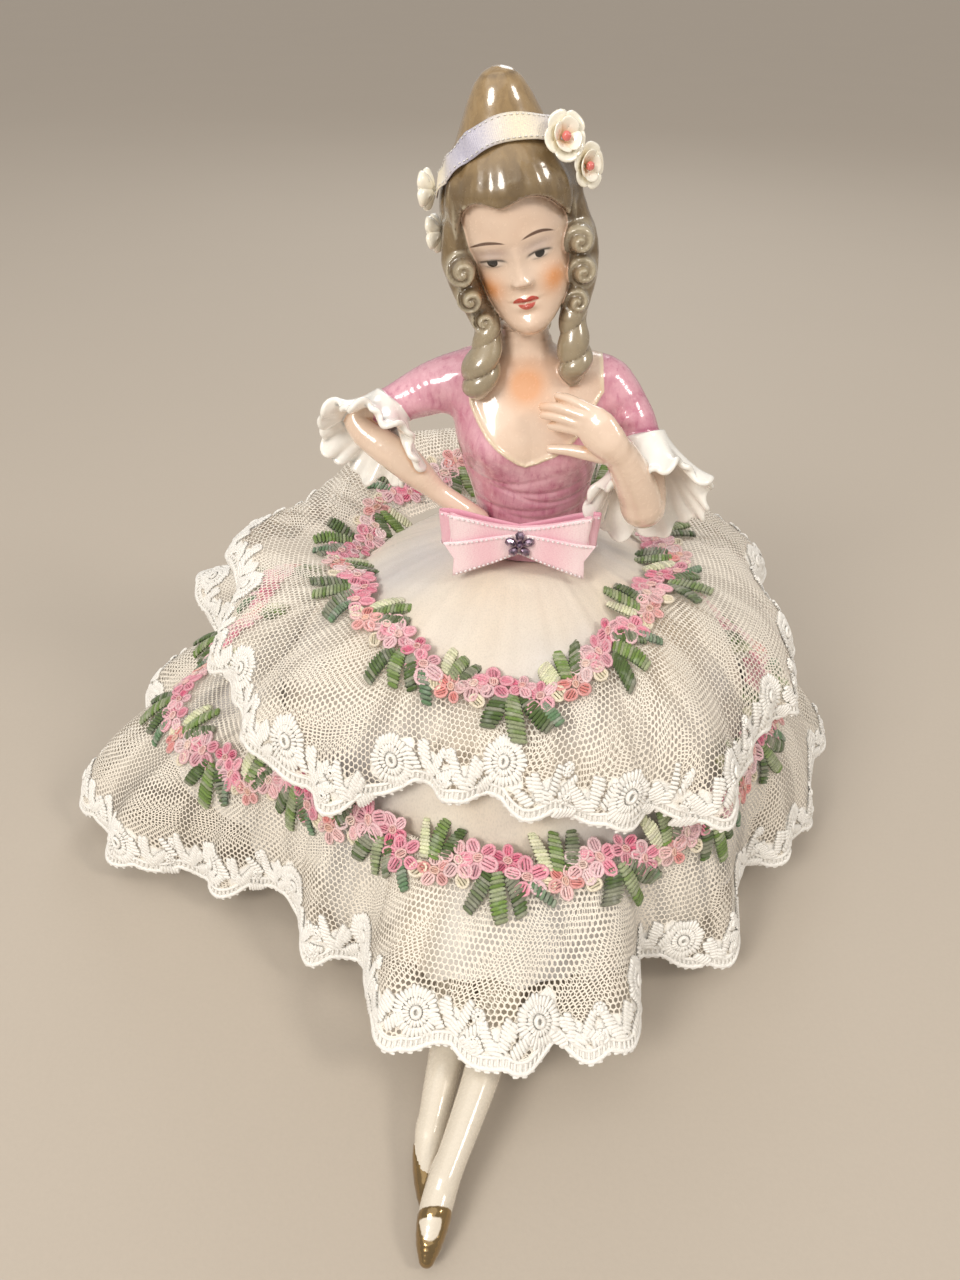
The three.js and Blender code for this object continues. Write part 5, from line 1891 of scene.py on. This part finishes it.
def leaf(parts, tier, u, v, angle, long, wide, tint, rng, lift):
    """A plump leaf of thick ribs stitched right across it, blunt at both ends."""
    n = max(7, round(long / 0.95))
    s = (np.arange(n) + 0.5) / n
    turn = angle + rng.uniform(-0.25, 0.25) * (s - 0.5)
    x, y = u + np.cos(turn) * long * s, v + np.sin(turn) * long * s
    half = wide / 2 * np.sin(np.pi * (0.15 + 0.7 * s)) ** 0.5
    slant = turn + np.pi / 2 + rng.choice([-0.3, 0.3])
    across, down = np.cos(slant) * half, np.sin(slant) * half
    rise = lift + 0.45 * np.sin(np.pi * s)
    start, normal = tier.place(x - across, y - down, rise)
    end, _ = tier.place(x + across, y + down, rise)
    # some ribs paler, as painted highlight
    shade = mix(tint, PALE_THREAD_AND_HIGHLIGHT, rng.choice([0, 0.08, 0.22], (n, 1))) * rng.uniform(0.8, 1.2, (n, 1))
    add_stitches(parts, start, end, normal, long / n * 0.74, 1.25, np.clip(shade, 0, 1))


def spray(parts, tier, u, v, toward, count, long, tints, rng, lift):
    """Leaves side by side, fanned a little from one stem end."""
    for k in range(count):
        off = k - (count - 1) / 2
        tint = tints[k % len(tints)]
        x, y = u - np.sin(toward) * off * long * 0.2, v + np.cos(toward) * off * long * 0.2
        reach = long * rng.uniform(0.84, 1.06) * (1 - 0.1 * abs(off))
        leaf(parts, tier, x, y, toward + off * 0.36, reach, long * 0.34, tint, rng, lift + 0.2 * (k % 2))


# One repeat of a garland: place along and across it, what it is, tint or leaves, size
REPEAT = [
    (4.6, 1.0, "spray", (math.radians(84), 3, (DEEP_GREEN, LEAF_GREEN, DEEP_GREEN)), 11.6),
    (19.4, 0.6, "spray", (math.radians(-84), 3, (PALE_GREEN, LEAF_GREEN, DEEP_GREEN)), 11.4),
    (11.6, 3.0, "spray", (math.radians(52), 1, (BLUE_GREEN,)), 8.0),
    (-0.6, -1.6, "blossom", PINK, 2.25),
    (6.8, -2.0, "blossom", ROSE, 1.75),
    (11.6, 1.8, "blossom", PINK, 2.1),
    (16.4, 3.6, "petal", CREAM_THREAD, 2.3),
    (20.6, 3.0, "blossom", SALMON, 1.85),
    (25.6, -0.4, "blossom", PALE_PINK, 2.1),
    (27.6, 4.2, "petal", CREAM_THREAD, 2.0),
]
REPEAT_LENGTH = 31.0


def garland(name, tier, shares, base_lift, finish, seed):
    """A run of embroidered blossoms, buds and leaves over the seam of a tier."""
    rng = np.random.default_rng(seed)
    parts = Parts()
    # where the garland's middle line lies on the cloth, and its own length
    t = along(shares, tier.azimuth)
    v_mid = np.array([np.interp(x, tier.share, row) for x, row in zip(t, tier.down)])
    line, _ = tier.place(tier.across[:-1], v_mid)
    run = run_along(np.concatenate([line, line[:1]]))
    repeats = round(run[-1] / REPEAT_LENGTH)
    stretch = run[-1] / repeats / REPEAT_LENGTH
    for r in range(repeats):
        for x, y, kind, tint, size in REPEAT:
            s = (r + x / REPEAT_LENGTH) * REPEAT_LENGTH * stretch
            u = np.interp(s % run[-1], run[:-1], tier.across[:-1])
            v = np.interp(u, tier.across[:-1], v_mid, period=tier.length) + y
            # the seam is gathered, so the cloth there is wider than the place it takes up
            k = min(int(np.searchsorted(run, s % run[-1])), tier.columns - 1)
            full = (tier.across[k] - tier.across[k - 1]) / max(run[k] - run[k - 1], 1e-6) if k else 1.0
            local = Stretched(tier, u, full)
            lift = base_lift + rng.uniform(0, 0.25)
            if kind == "blossom":
                blossom(parts, local, u, v, size, tint, rng, lift + 0.55)
            elif kind == "petal":
                worked_petal(parts, local, u, v, rng.uniform(0, 6), size, tint, rng, lift + 0.3)
            else:
                toward, count, greens = tint
                toward = toward + rng.uniform(-0.3, 0.3)
                spray(parts, local, u, v, toward, count, size, greens, rng, lift)
    return parts.build(name, finish)


class Stretched:
    """A tier seen from one place of a garland; motifs keep their size where it is gathered."""

    def __init__(self, tier, middle, full):
        self.tier, self.middle, self.full = tier, middle, full

    def place(self, u, v, lift=0.0):
        return self.tier.place(self.middle + (np.asarray(u) - self.middle) * self.full, v, lift)


class HALFDOLL_OT_garlands(bpy.types.Operator):
    """Lays the two embroidered garlands of blossoms and leaves"""

    bl_idname = "halfdoll.garlands"
    bl_label = "Garlands"

    def execute(self, context):
        thread = thread_finish("garland_thread", 0.25)
        runs = (("upper", UPPER, UPPER_GARLAND, 0.7), ("lower", LOWER, LOWER_GARLAND, 0.5))
        for side, tier, shares, lift in runs:
            piece = garland(f"{side}_flower_garland", tier, shares, lift, thread, SEED + len(side))
            place(piece, f"{side}_garland")
        return {"FINISHED"}


# Ribbons

HAIR_RIBBON_TURN = math.radians(97)  # how far it goes round from the front, each way
# Its heights on the head: on top and at the two ends
HAIR_RIBBON_TOP, HAIR_RIBBON_RIGHT, HAIR_RIBBON_LEFT = 29, 17.5, 22
HAIR_RIBBON_HALF = 2.7
RIBBON_LIFT = GAP + 0.4
RIBBON_THICKNESS = 0.8  # of the solid ribbon that the flowers sit on
RIBBON_CLOTH = 0.45  # thickness of the woven ribbon
RIBBON_COLUMNS = 9  # points across a ribbon


def hair_point(z, a, lift):
    """A point over the dressed hair at a height and an angle from the front."""
    wide, front, back = (along(HAIR, z, k) + way * lift for k, way in ((1, 1), (2, -1), (3, 1)))
    y = (front + back) / 2 - np.cos(a) * (back - front) / 2
    return np.stack([np.sin(a) * wide, y, z + 0 * a], -1)


def rounded(rows, count):
    """Rows of values drawn out to a smooth run through them."""
    rows = np.asarray(rows, float)
    last = len(rows) - 1
    s = np.linspace(0, last, count)
    i = np.minimum(s.astype(int), last - 1)
    t = (s - i)[:, None]
    p0, p1, p2, p3 = (rows[np.clip(i + k, 0, last)] for k in (-1, 0, 1, 2))
    curve = 2 * p1 + (p2 - p0) * t
    curve = curve + (2 * p0 - 5 * p1 + 4 * p2 - p3) * t**2 + (3 * p1 - p0 - 3 * p2 + p3) * t**3
    return 0.5 * curve


def strip(parts, centre, across, half, columns=RIBBON_COLUMNS, notch=0.0, shade=0.0):
    """A length of ribbon from its middle line, with its places on the cloth and its shade."""
    ahead = np.roll(centre, -1, 0) - np.roll(centre, 1, 0)
    ahead[0], ahead[-1] = centre[1] - centre[0], centre[-1] - centre[-2]
    ahead = unit(ahead)
    across = unit(across - (across * ahead).sum(1)[:, None] * ahead)
    normal = np.cross(ahead, across)
    run = run_along(centre)
    x = np.linspace(-1, 1, columns)
    points = centre[:, None] + across[:, None] * (half[:, None] * x)[..., None]
    if notch:
        near = smooth((run - run[-1] + notch * 2.5) / (notch * 2.5))
        points = points - (ahead[:, None] * (near[:, None] * notch * (1 - np.abs(x)))[..., None])
    rise = normal[:, None] * (RIBBON_CLOTH / 2 * (1 - 0.6 * np.abs(x) ** 6))[None, :, None]
    flat = np.stack(np.broadcast_arrays(run[:, None], half[:, None] * x, 0 * run[:, None]), -1)
    ring = np.concatenate([points + rise, (points - rise)[:, ::-1]], 1)
    flat = np.concatenate([flat, flat[:, ::-1] + [0, 0, 1]], 1)
    sides = columns * 2
    cap = np.array([[k, k + 1, sides - 2 - k, sides - 1 - k] for k in range(columns - 1)])
    woven = grid_faces(len(centre), sides, columns_closed=True)
    faces = np.concatenate([woven, cap, cap[:, ::-1] + (len(centre) - 1) * sides])
    parts.add(ring, faces, flat.reshape(-1, 3) + [0, 0, shade])
    return points, normal, run


EDGE_PITCH = 1.2  # from stitch to stitch along a ribbon's edge


def edge_dots(parts, points, normal, run, inset, size, tint, share):
    """Picot stitches along both edges of a ribbon, on its outer face."""
    at = np.arange(EDGE_PITCH / 2, run[-1] - EDGE_PITCH / 2, EDGE_PITCH)
    columns = points.shape[1]
    for edge, inner in ((0, 1), (columns - 1, columns - 2)):
        inward = unit(points[:, inner] - points[:, edge])
        line = points[:, edge] + inward * inset + normal * 0.3
        mid, up = (np.stack([np.interp(at, run, v[:, k]) for k in range(3)], 1) for v in (line, normal))
        step = np.stack([np.gradient(line[:, k], run) for k in range(3)], 1)
        step = unit(np.stack([np.interp(at, run, step[:, k]) for k in range(3)], 1))
        half = step * EDGE_PITCH * share / 2
        add_stitches(parts, mid - half, mid + half, up, size, size * 1.1, tint)


def ribbon_satin(name, colour, shade, glow, stripe, shine):
    """Satin ribbon: cross-woven, with a painted sheen of lighter and darker bands along it, and painted
    shade on its back and on the loops behind.
    """
    f = Finish(name, sheen_weight=0.3, specular_ior_level=0.6)
    flat = f.attribute("tint", "Vector")
    u, _, face = f.parts(flat)
    at = f.place()
    ribs = (u * (2 * math.pi / 0.42) + f.noise(at, 300.0, 2.0) * 2.0).sine() * 0.5 + 0.5
    floats = f.noise(f.stretched(flat, (1.0, 6.0, 1.0)), 1.6, 2.0, 0.6)
    swing = (u * (2 * math.pi / stripe) + 2.2 * f.noise(at, 45.0, 2.0)).sine() * 0.5 + 0.5
    # painted highlight in bands along the ribbon
    tint = f.blend(colour, glow, swing * shine)
    # painted shade between the bands, with the darker floats and ribs of the weave
    shade_and_weave = ((1 - swing) * (shine - 0.55)).most(0.0) + (0.58 - floats).most(0.0) * 1.4 + 0.08 * ribs
    tint = f.blend(tint, shade, shade_and_weave)
    # painted shade on the back face and on the loops behind
    tint = f.blend(tint, shade, face * 0.55)
    f.paint(base_color=tint, roughness=0.26 + 0.22 * floats)
    f.bump(0.6 * ribs + floats, 0.00009, 0.5)
    return f.material


BOW_SPAN = 39
BOW_WIDTH = 10
# Loops and tails of the bow: share of the span out from the knot, place along Y, share of the width, rise
BACK_LOOP = [
    (0.0, -0.6, 0.58, 0.4), (0.35, -1.5, 0.72, 0.9), (0.75, -1.7, 0.9, 1.7), (0.97, -1.0, 0.96, 2.3),
    (1.0, 0.4, 0.94, 2.4), (0.8, 1.6, 0.86, 2.0), (0.4, 1.4, 0.7, 1.0), (0.0, 0.6, 0.55, 0.4),
]
FRONT_LOOP = [
    (0.0, -1.8, 0.62, 0.2), (0.3, -3.0, 0.76, 0.9), (0.62, -3.6, 0.92, 1.8), (0.83, -3.3, 0.98, 2.4),
    (0.87, -2.3, 0.95, 2.4), (0.66, -2.1, 0.85, 1.8), (0.3, -1.8, 0.7, 0.9), (0.0, -1.2, 0.58, 0.2),
]
BOW_TAIL = [
    (0.0, -3.0, 0.6, -0.4), (0.25, -3.9, 0.74, -1.3), (0.5, -4.4, 0.84, -2.5), (0.75, -4.6, 0.92, -3.8),
    (0.92, -4.2, 0.96, -4.7),
]


# Lengths of the bow on each side: their table, points along them, notch of the end, lean, shade
BOW_RUNS = [
    (BACK_LOOP, 110, 0.0, 0.1, 1.0), (FRONT_LOOP, 110, 0.0, 0.12, 0.0), (BOW_TAIL, 60, 1.6, -0.28, 0.0),
]


def bow_strip(parts, side, table, count, notch, lean, shade):
    """One loop or tail of the bow, out to a side of the knot."""
    rows = rounded(table, count)
    centre = np.stack([side * rows[:, 0] * BOW_SPAN / 2, rows[:, 1], rows[:, 3]], 1) + KNOT
    across = np.tile([side * lean, 0.0, 1.0], (len(rows), 1)) * side
    half = rows[:, 2] * BOW_WIDTH / 2
    return strip(parts, on_doll(centre), across, half, notch=notch, shade=shade)


class HALFDOLL_OT_hair_ribbon(bpy.types.Operator):
    """Lays the pearl satin ribbon over the dressed hair"""

    bl_idname = "halfdoll.hair_ribbon"
    bl_label = "Hair ribbon"

    def execute(self, context):
        a = np.linspace(-HAIR_RIBBON_TURN, HAIR_RIBBON_TURN, 150)

        def middle(turn, rise=0.0):
            side = np.where(turn < 0, HAIR_RIBBON_RIGHT, HAIR_RIBBON_LEFT)
            z = mix(HAIR_RIBBON_TOP, side, (turn / HAIR_RIBBON_TURN) ** 2)
            return hair_point(z + rise, turn, RIBBON_LIFT + 0.35)

        centre = on_doll(from_head(middle(a)))
        across = on_doll(from_head(middle(a, 1.0))) - on_doll(from_head(middle(a, -1.0)))
        parts, dots = Parts(), Parts()
        half = np.full(len(a), HAIR_RIBBON_HALF)
        points, normal, run = strip(parts, centre, across, half, columns=RIBBON_COLUMNS + 2)
        inside = on_doll(from_head(np.array([0, 0, 20.0])))
        outward = np.sign(((centre - inside) * normal).sum())
        edge_dots(dots, points, normal * outward, run, 0.5, 0.17, screen(255, 254, 252), 0.5)
        pearl, shade, glow = screen(238, 234, 242), screen(150, 150, 180), screen(255, 244, 214)
        satin_finish = ribbon_satin("pearl_satin", pearl, shade, glow, 24.0, 1.0)
        piece = place(parts.build("pearl_hair_ribbon", satin_finish), "hair_ribbon")
        work = place(dots.build("ribbon_edge_stitches", thread_finish("ribbon_thread")), None)
        return {"FINISHED"}


class HALFDOLL_OT_bow(bpy.types.Operator):
    """Ties the pink satin bow with picot edges at the waist"""

    bl_idname = "halfdoll.bow"
    bl_label = "Waist bow"

    def execute(self, context):
        parts, dots = Parts(), Parts()
        white = screen(255, 246, 248)
        for side in (-1, 1):
            for bow_run in BOW_RUNS:
                points, normal, run = bow_strip(parts, side, *bow_run)
                way = -np.sign(normal[len(normal) // 4, 1])
                edge_dots(dots, points, normal * way, run, 0.55, 0.34, white, 0.55)
        shade, glow = screen(230, 164, 186), screen(255, 242, 243)
        satin_finish = ribbon_satin("pink_satin", tuple(colours().bow), shade, glow, 15.0, 0.75)
        piece = place(parts.build("pink_bow_ribbon", satin_finish), "waist_bow")
        work = place(dots.build("bow_picots", thread_finish("picot_thread")), None)
        return {"FINISHED"}


# Cut of a stone from its rim up: share of its half size, height
STONE_RINGS = [(1.0, 0.0), (1.0, 0.28), (0.86, 0.62), (0.5, 1.02), (0.0, 1.22)]
STONE_SIDES = 8
STONE_BACK = -2.2 - 0.6 * 2.8 - GAP  # the flower's back in front of the knot
METAL_PETAL_REACH = 2.35


def metal_stone(parts, x, z, turn, long, wide, raised):
    """A faceted petal or heart of the metal flower."""
    angle = np.linspace(0, 2 * np.pi, STONE_SIDES, endpoint=False) + np.pi / STONE_SIDES
    c, sn = math.cos(turn), math.sin(turn)
    rings = []
    for share, high in STONE_RINGS:
        px = share * long * np.cos(angle)
        pz = share * wide * np.sin(angle) * (1 + 0.28 * np.cos(angle))
        y = np.full(STONE_SIDES, STONE_BACK - high * raised)
        rings.append(np.stack([x + px * c - pz * sn, y, z + px * sn + pz * c], 1))
    faces = grid_faces(len(rings), STONE_SIDES, columns_closed=True)
    under = [[0, 1, 2, 3], [0, 3, 4, 7], [4, 5, 6, 7]]
    parts.add(on_doll(np.concatenate(rings) + KNOT), np.concatenate([faces, under]), 0)


def lilac_metal():
    """Lilac metal, paler in cloudy places as painted highlight."""
    f = Finish("lilac_metal", metallic=0.92, coat_weight=0.6, coat_roughness=0.05)
    cloud = f.noise(f.place(), 900.0, 2.0)
    # painted highlight: pale lilac patches over the dark metal
    tint = f.blend(screen(92, 78, 96), screen(216, 190, 216), (cloud - 0.36).most(0.0) * 2.2)
    f.paint(base_color=tint, roughness=0.08 + 0.2 * cloud)
    return f.material


class HALFDOLL_OT_bow_flower(bpy.types.Operator):
    """Sets the faceted metal flower on the bow"""

    bl_idname = "halfdoll.bow_flower"
    bl_label = "Metal flower"

    def execute(self, context):
        parts = Parts()
        for k in range(5):
            turn = math.radians(90 + 72 * k)
            x, z = METAL_PETAL_REACH * math.cos(turn), METAL_PETAL_REACH * math.sin(turn)
            metal_stone(parts, x, z, turn, 1.5, 1.18, 1.05)
        metal_stone(parts, 0, 0, 0, 0.95, 0.95, 1.4)
        points, faces = np.concatenate(parts.points), np.concatenate(parts.faces)
        piece = add_mesh("metal_bow_flower", points, faces, lilac_metal(), smoothed=False)
        place(piece, "bow_flower")
        return {"FINISHED"}


ON_RIBBON = RIBBON_LIFT + RIBBON_THICKNESS + GAP
# Hair flowers: name, height and angle of the seat, lift, size, tilt up, angle it faces, spin
HAIR_FLOWERS = [
    ("left_upper", 24.8, 55, ON_RIBBON + 0.6, 1.02, 0.4, 26, 0.3),
    ("left_lower", 18.8, 70, ON_RIBBON + 0.2, 0.94, 0.1, 36, 0.9),
    ("right_upper", 17.4, -92, ON_RIBBON, 0.94, 0.05, -112, 0.63),
    ("right_lower", 7.8, -94, RIBBON_LIFT, 0.9, -0.1, -112, 0.63),
]
HAIR_FLOWER_RADIUS = 5
# Rings of petals: how many, start, reach, half width, rise, curl, height of the seat, thickness
CUPPED_PETALS = [(5, 0.0, 1.0, 0.56, 0.5, 0.1, 0.06, 0.75), (4, 0.6, 0.66, 0.42, 0.85, 0.1, 0.14, 0.65)]
PLUMP_PETALS = [(5, 0.0, 0.98, 0.46, 0.45, 0.12, 0.1, 1.7), (3, 0.5, 0.5, 0.3, 1.0, 0.1, 0.2, 0.9)]


PETAL_RINGS = np.array([0.03, 0.4, 0.7, 0.9, 1.0, 0.9, 0.7, 0.4, 0.03])[:, None]
PETAL_FACES = np.sign(np.arange(4, -5, -1))[:, None]  # upper skin, rim, lower skin
PETAL_SIDES = 20


def petal(parts, seat, axes, spin, reach, wide, rise, curl, thickness, pale):
    """A cupped, rounded porcelain petal; pale ones are white to the base."""
    u, v, w = axes
    angle = np.linspace(0, 2 * np.pi, PETAL_SIDES, endpoint=False)
    share = 0.54 + 0.46 * PETAL_RINGS * np.cos(angle)
    across = wide * PETAL_RINGS * np.sin(angle) * (0.92 + 0.14 * np.cos(angle))
    skin = PETAL_FACES * thickness / 2 * np.sqrt(1 - PETAL_RINGS**4)
    up = reach * (rise * share**1.3 - curl * share**4) + 0.3 * across**2 / wide + skin
    ahead = math.cos(spin) * u + math.sin(spin) * v
    side = -math.sin(spin) * u + math.cos(spin) * v
    points = seat + (reach * share)[..., None] * ahead + across[..., None] * side + up[..., None] * w
    last = PETAL_SIDES - 1
    cap = np.array([[k, k + 1, last - 1 - k, last - k] for k in range(PETAL_SIDES // 2 - 1)])
    rows = len(PETAL_RINGS)
    sheet = grid_faces(rows, PETAL_SIDES, columns_closed=True)
    faces = np.concatenate([sheet, cap, cap[:, ::-1] + (rows - 1) * PETAL_SIDES])
    whiteness = np.stack([np.maximum(share, pale), 0 * share, 0 * share], -1)
    parts.add(on_doll(from_head(points.reshape(-1, 3))), faces, whiteness.reshape(-1, 3))


def bead(parts, at, radius):
    """The round heart of a hair flower."""
    rows, columns = 7, 10
    polar = np.linspace(0.02, np.pi - 0.02, rows)
    angle = np.linspace(0, 2 * np.pi, columns, endpoint=False)
    p, a = np.meshgrid(polar, angle, indexing="ij")
    shape = np.stack([np.sin(p) * np.cos(a), np.sin(p) * np.sin(a), np.cos(p)], -1).reshape(-1, 3)
    cap = np.array([[0, 1, 2, 3], [0, 3, 4, 5], [0, 5, 6, 7], [0, 7, 8, 9]])
    side = grid_faces(rows, columns, columns_closed=True)
    faces = np.concatenate([side, cap[:, ::-1], cap + (rows - 1) * columns])
    parts.add(on_doll(from_head(at + shape * radius)), faces, [0.5, 1.0, 0])


def flower_glaze():
    """Cream porcelain, darker at the base of a petal, with a rose heart."""
    f = glaze("flower_porcelain")
    share, heart, _ = f.parts(f.attribute("tint", "Vector"))
    warm = f.noise(f.place(), 260.0, 2.0)
    petals = f.blend(screen(240, 216, 156), screen(254, 250, 236), share.rise(0.0, 0.7))
    petals = f.blend(petals, screen(248, 228, 190), (warm - 0.5).most(0.0) * 1.4)
    colour = f.blend(petals, screen(226, 118, 112), heart.rise(0.4, 0.6))
    f.paint(base_color=colour, roughness=0.16 + 0.12 * warm)
    return f.material


def hair_flower(seat, facing, tilt, radius, spin, rings, pale, rng):
    """A flower of cupped petals round a heart, facing out from the hair."""
    turn = math.radians(facing)
    w = unit(np.array([math.sin(turn), -math.cos(turn), tilt]))
    u = unit(np.array([0, 0, 1]) - w * w[2])
    axes = (u, np.cross(w, u), w)
    parts = Parts()
    for count, first, reach, wide, rise, curl, high, thick in rings:
        for k in range(count):
            turn = spin + first + 2 * math.pi * k / count
            long = radius * reach * rng.uniform(0.92, 1.06)
            broad = radius * wide * rng.uniform(0.92, 1.08)
            petal(parts, seat + w * radius * high, axes, turn, long, broad, rise, curl, thick, pale)
    bead(parts, seat + w * radius * 0.5, radius * 0.2)
    return parts


class HALFDOLL_OT_hair_flowers(bpy.types.Operator):
    """Sets the four porcelain flowers in the hair"""

    bl_idname = "halfdoll.hair_flowers"
    bl_label = "Hair flowers"

    def execute(self, context):
        finish = flower_glaze()
        rng = np.random.default_rng(SEED)
        for name, z, angle, lift, size, tilt, facing, spin in HAIR_FLOWERS:
            seat = hair_point(float(z), np.array([math.radians(angle)]), lift)[0]
            plump = name.startswith("right")
            rings, pale = (PLUMP_PETALS, 0.8) if plump else (CUPPED_PETALS, 0.0)
            radius = HAIR_FLOWER_RADIUS * size
            parts = hair_flower(seat, facing, tilt, radius, spin, rings, pale, rng)
            piece = parts.build(f"porcelain_flower_{name}", finish)
            place(piece, f"hair_flower_{name}")
        return {"FINISHED"}


# Stage


FLOOR_REACH = 9000
FLOOR_LINES = 48
FLOOR_Z = -0.2
# Lights in metres: name, kind, place, width (an angle for the wide overhead sky), power, colour
LIGHTS = [
    ("window", "AREA", (-0.55, -0.75, 0.75), 0.4, 6.3, (1.0, 0.95, 0.88)),
    ("lamp", "AREA", (0.75, -0.45, 0.9), 0.28, 3.5, (1.0, 0.93, 0.84)),
    ("back_light", "AREA", (0.1, 0.9, 0.8), 0.5, 1.9, (0.92, 0.96, 1.0)),
    ("overhead", "SUN", (-0.3, -0.35, 1.15), 1.2, 0.72, (1.0, 0.97, 0.92)),
]
ROOM_COLOUR = (0.9, 0.84, 0.78, 1)
ROOM_LIGHT = 0.5
CAMERA_PLACE = (-0.0107, -0.2293, 0.2303)
CAMERA_PITCH, CAMERA_ROLL = math.radians(36), math.radians(1.5)
CAMERA_LENS, CAMERA_SENSOR = 27.03, 36.0


def floor_finish():
    """Pale matt cloth without a pattern."""
    f = Finish("pale_floor", roughness=0.7)
    grain = f.noise(f.place(), 900.0, 3.0)
    cloudy = f.noise(f.place(), 6.0, 3.0)
    pale = tuple(colours().floor)
    f.paint(base_color=f.blend(pale, tuple(c * 0.9 for c in pale), grain * 0.5 + cloudy * 0.3))
    f.bump(grain, 0.0001, 0.3)
    return f.material


def build_floor():
    """A wide floor, its lines closer together under the figure."""
    side = np.linspace(-1, 1, FLOOR_LINES) ** 3 * FLOOR_REACH
    x, y = np.meshgrid(side, side, indexing="ij")
    points = np.stack([x, y, np.full_like(x, FLOOR_Z)], -1).reshape(-1, 3)
    return add_mesh("floor", points, grid_faces(FLOOR_LINES, FLOOR_LINES)[:, ::-1], floor_finish())


def hang_light(scene, name, kind, where, width, power, tone):
    """A light turned to the middle of the figure."""
    data = bpy.data.lights.new(name, kind)
    data.energy, data.color = power, tone
    if kind == "SUN":
        data.angle = width
    else:
        data.shape, data.size = "DISK", width
    light = bpy.data.objects.new(name, data)
    light.location = where
    light.rotation_euler = (Vector((0, 0, 0.1)) - light.location).to_track_quat("-Z", "Y").to_euler()
    scene.collection.objects.link(light)


def set_camera(scene):
    """The camera where the photograph was taken from."""
    data = bpy.data.cameras.new("camera")
    data.lens, data.sensor_width = CAMERA_LENS, CAMERA_SENSOR
    data.clip_start = 0.01
    camera = bpy.data.objects.new("camera", data)
    turn = Matrix.Rotation(math.pi / 2 - CAMERA_PITCH, 4, "X") @ Matrix.Rotation(CAMERA_ROLL, 4, "Z")
    camera.matrix_world = Matrix.Translation(CAMERA_PLACE) @ turn
    scene.collection.objects.link(camera)
    scene.camera = camera


class HALFDOLL_OT_stage(bpy.types.Operator):
    """Sets the pale floor, the soft lights and the camera"""

    bl_idname = "halfdoll.stage"
    bl_label = "Stage"

    def execute(self, context):
        floor = build_floor()
        for light in LIGHTS:
            hang_light(context.scene, *light)
        world = bpy.data.worlds.new("room")
        world.use_nodes = True
        background = world.node_tree.nodes["Background"]
        background.inputs[0].default_value = ROOM_COLOUR
        background.inputs[1].default_value = ROOM_LIGHT
        context.scene.world = world
        set_camera(context.scene)
        context.scene.view_settings.view_transform = "Standard"
        return {"FINISHED"}


class HALFDOLL_PT_panel(bpy.types.Panel):
    """Lists the pieces and their settings"""

    bl_label = "Half-doll"
    bl_idname = "HALFDOLL_PT_panel"
    bl_space_type = "VIEW_3D"
    bl_region_type = "UI"
    bl_category = "Half-doll"

    def draw(self, context):
        for group in (context.scene.half_doll_sizes, context.scene.half_doll_colours):
            for key in group.__annotations__:
                self.layout.prop(group, key)
        for operator in OPERATORS:
            self.layout.operator(operator.bl_idname)


OPERATORS = [
    HALFDOLL_OT_stage,
    HALFDOLL_OT_doll,
    HALFDOLL_OT_legs,
    HALFDOLL_OT_cushion,
    HALFDOLL_OT_lining,
    HALFDOLL_OT_lace,
    HALFDOLL_OT_garlands,
    HALFDOLL_OT_hair_ribbon,
    HALFDOLL_OT_hair_flowers,
    HALFDOLL_OT_bow,
    HALFDOLL_OT_bow_flower,
]
CLASSES = [HalfDollSizes, HalfDollColours, *OPERATORS, HALFDOLL_PT_panel]


def register():
    for kind in CLASSES:
        bpy.utils.register_class(kind)
    bpy.types.Scene.half_doll_sizes = PointerProperty(type=HalfDollSizes)
    bpy.types.Scene.half_doll_colours = PointerProperty(type=HalfDollColours)


def unregister():
    del bpy.types.Scene.half_doll_colours
    del bpy.types.Scene.half_doll_sizes
    for kind in reversed(CLASSES):
        bpy.utils.unregister_class(kind)


def main():
    register()
    for operator in OPERATORS:
        group, name = operator.bl_idname.split(".")
        getattr(getattr(bpy.ops, group), name)()


if __name__ == "__main__":
    main()
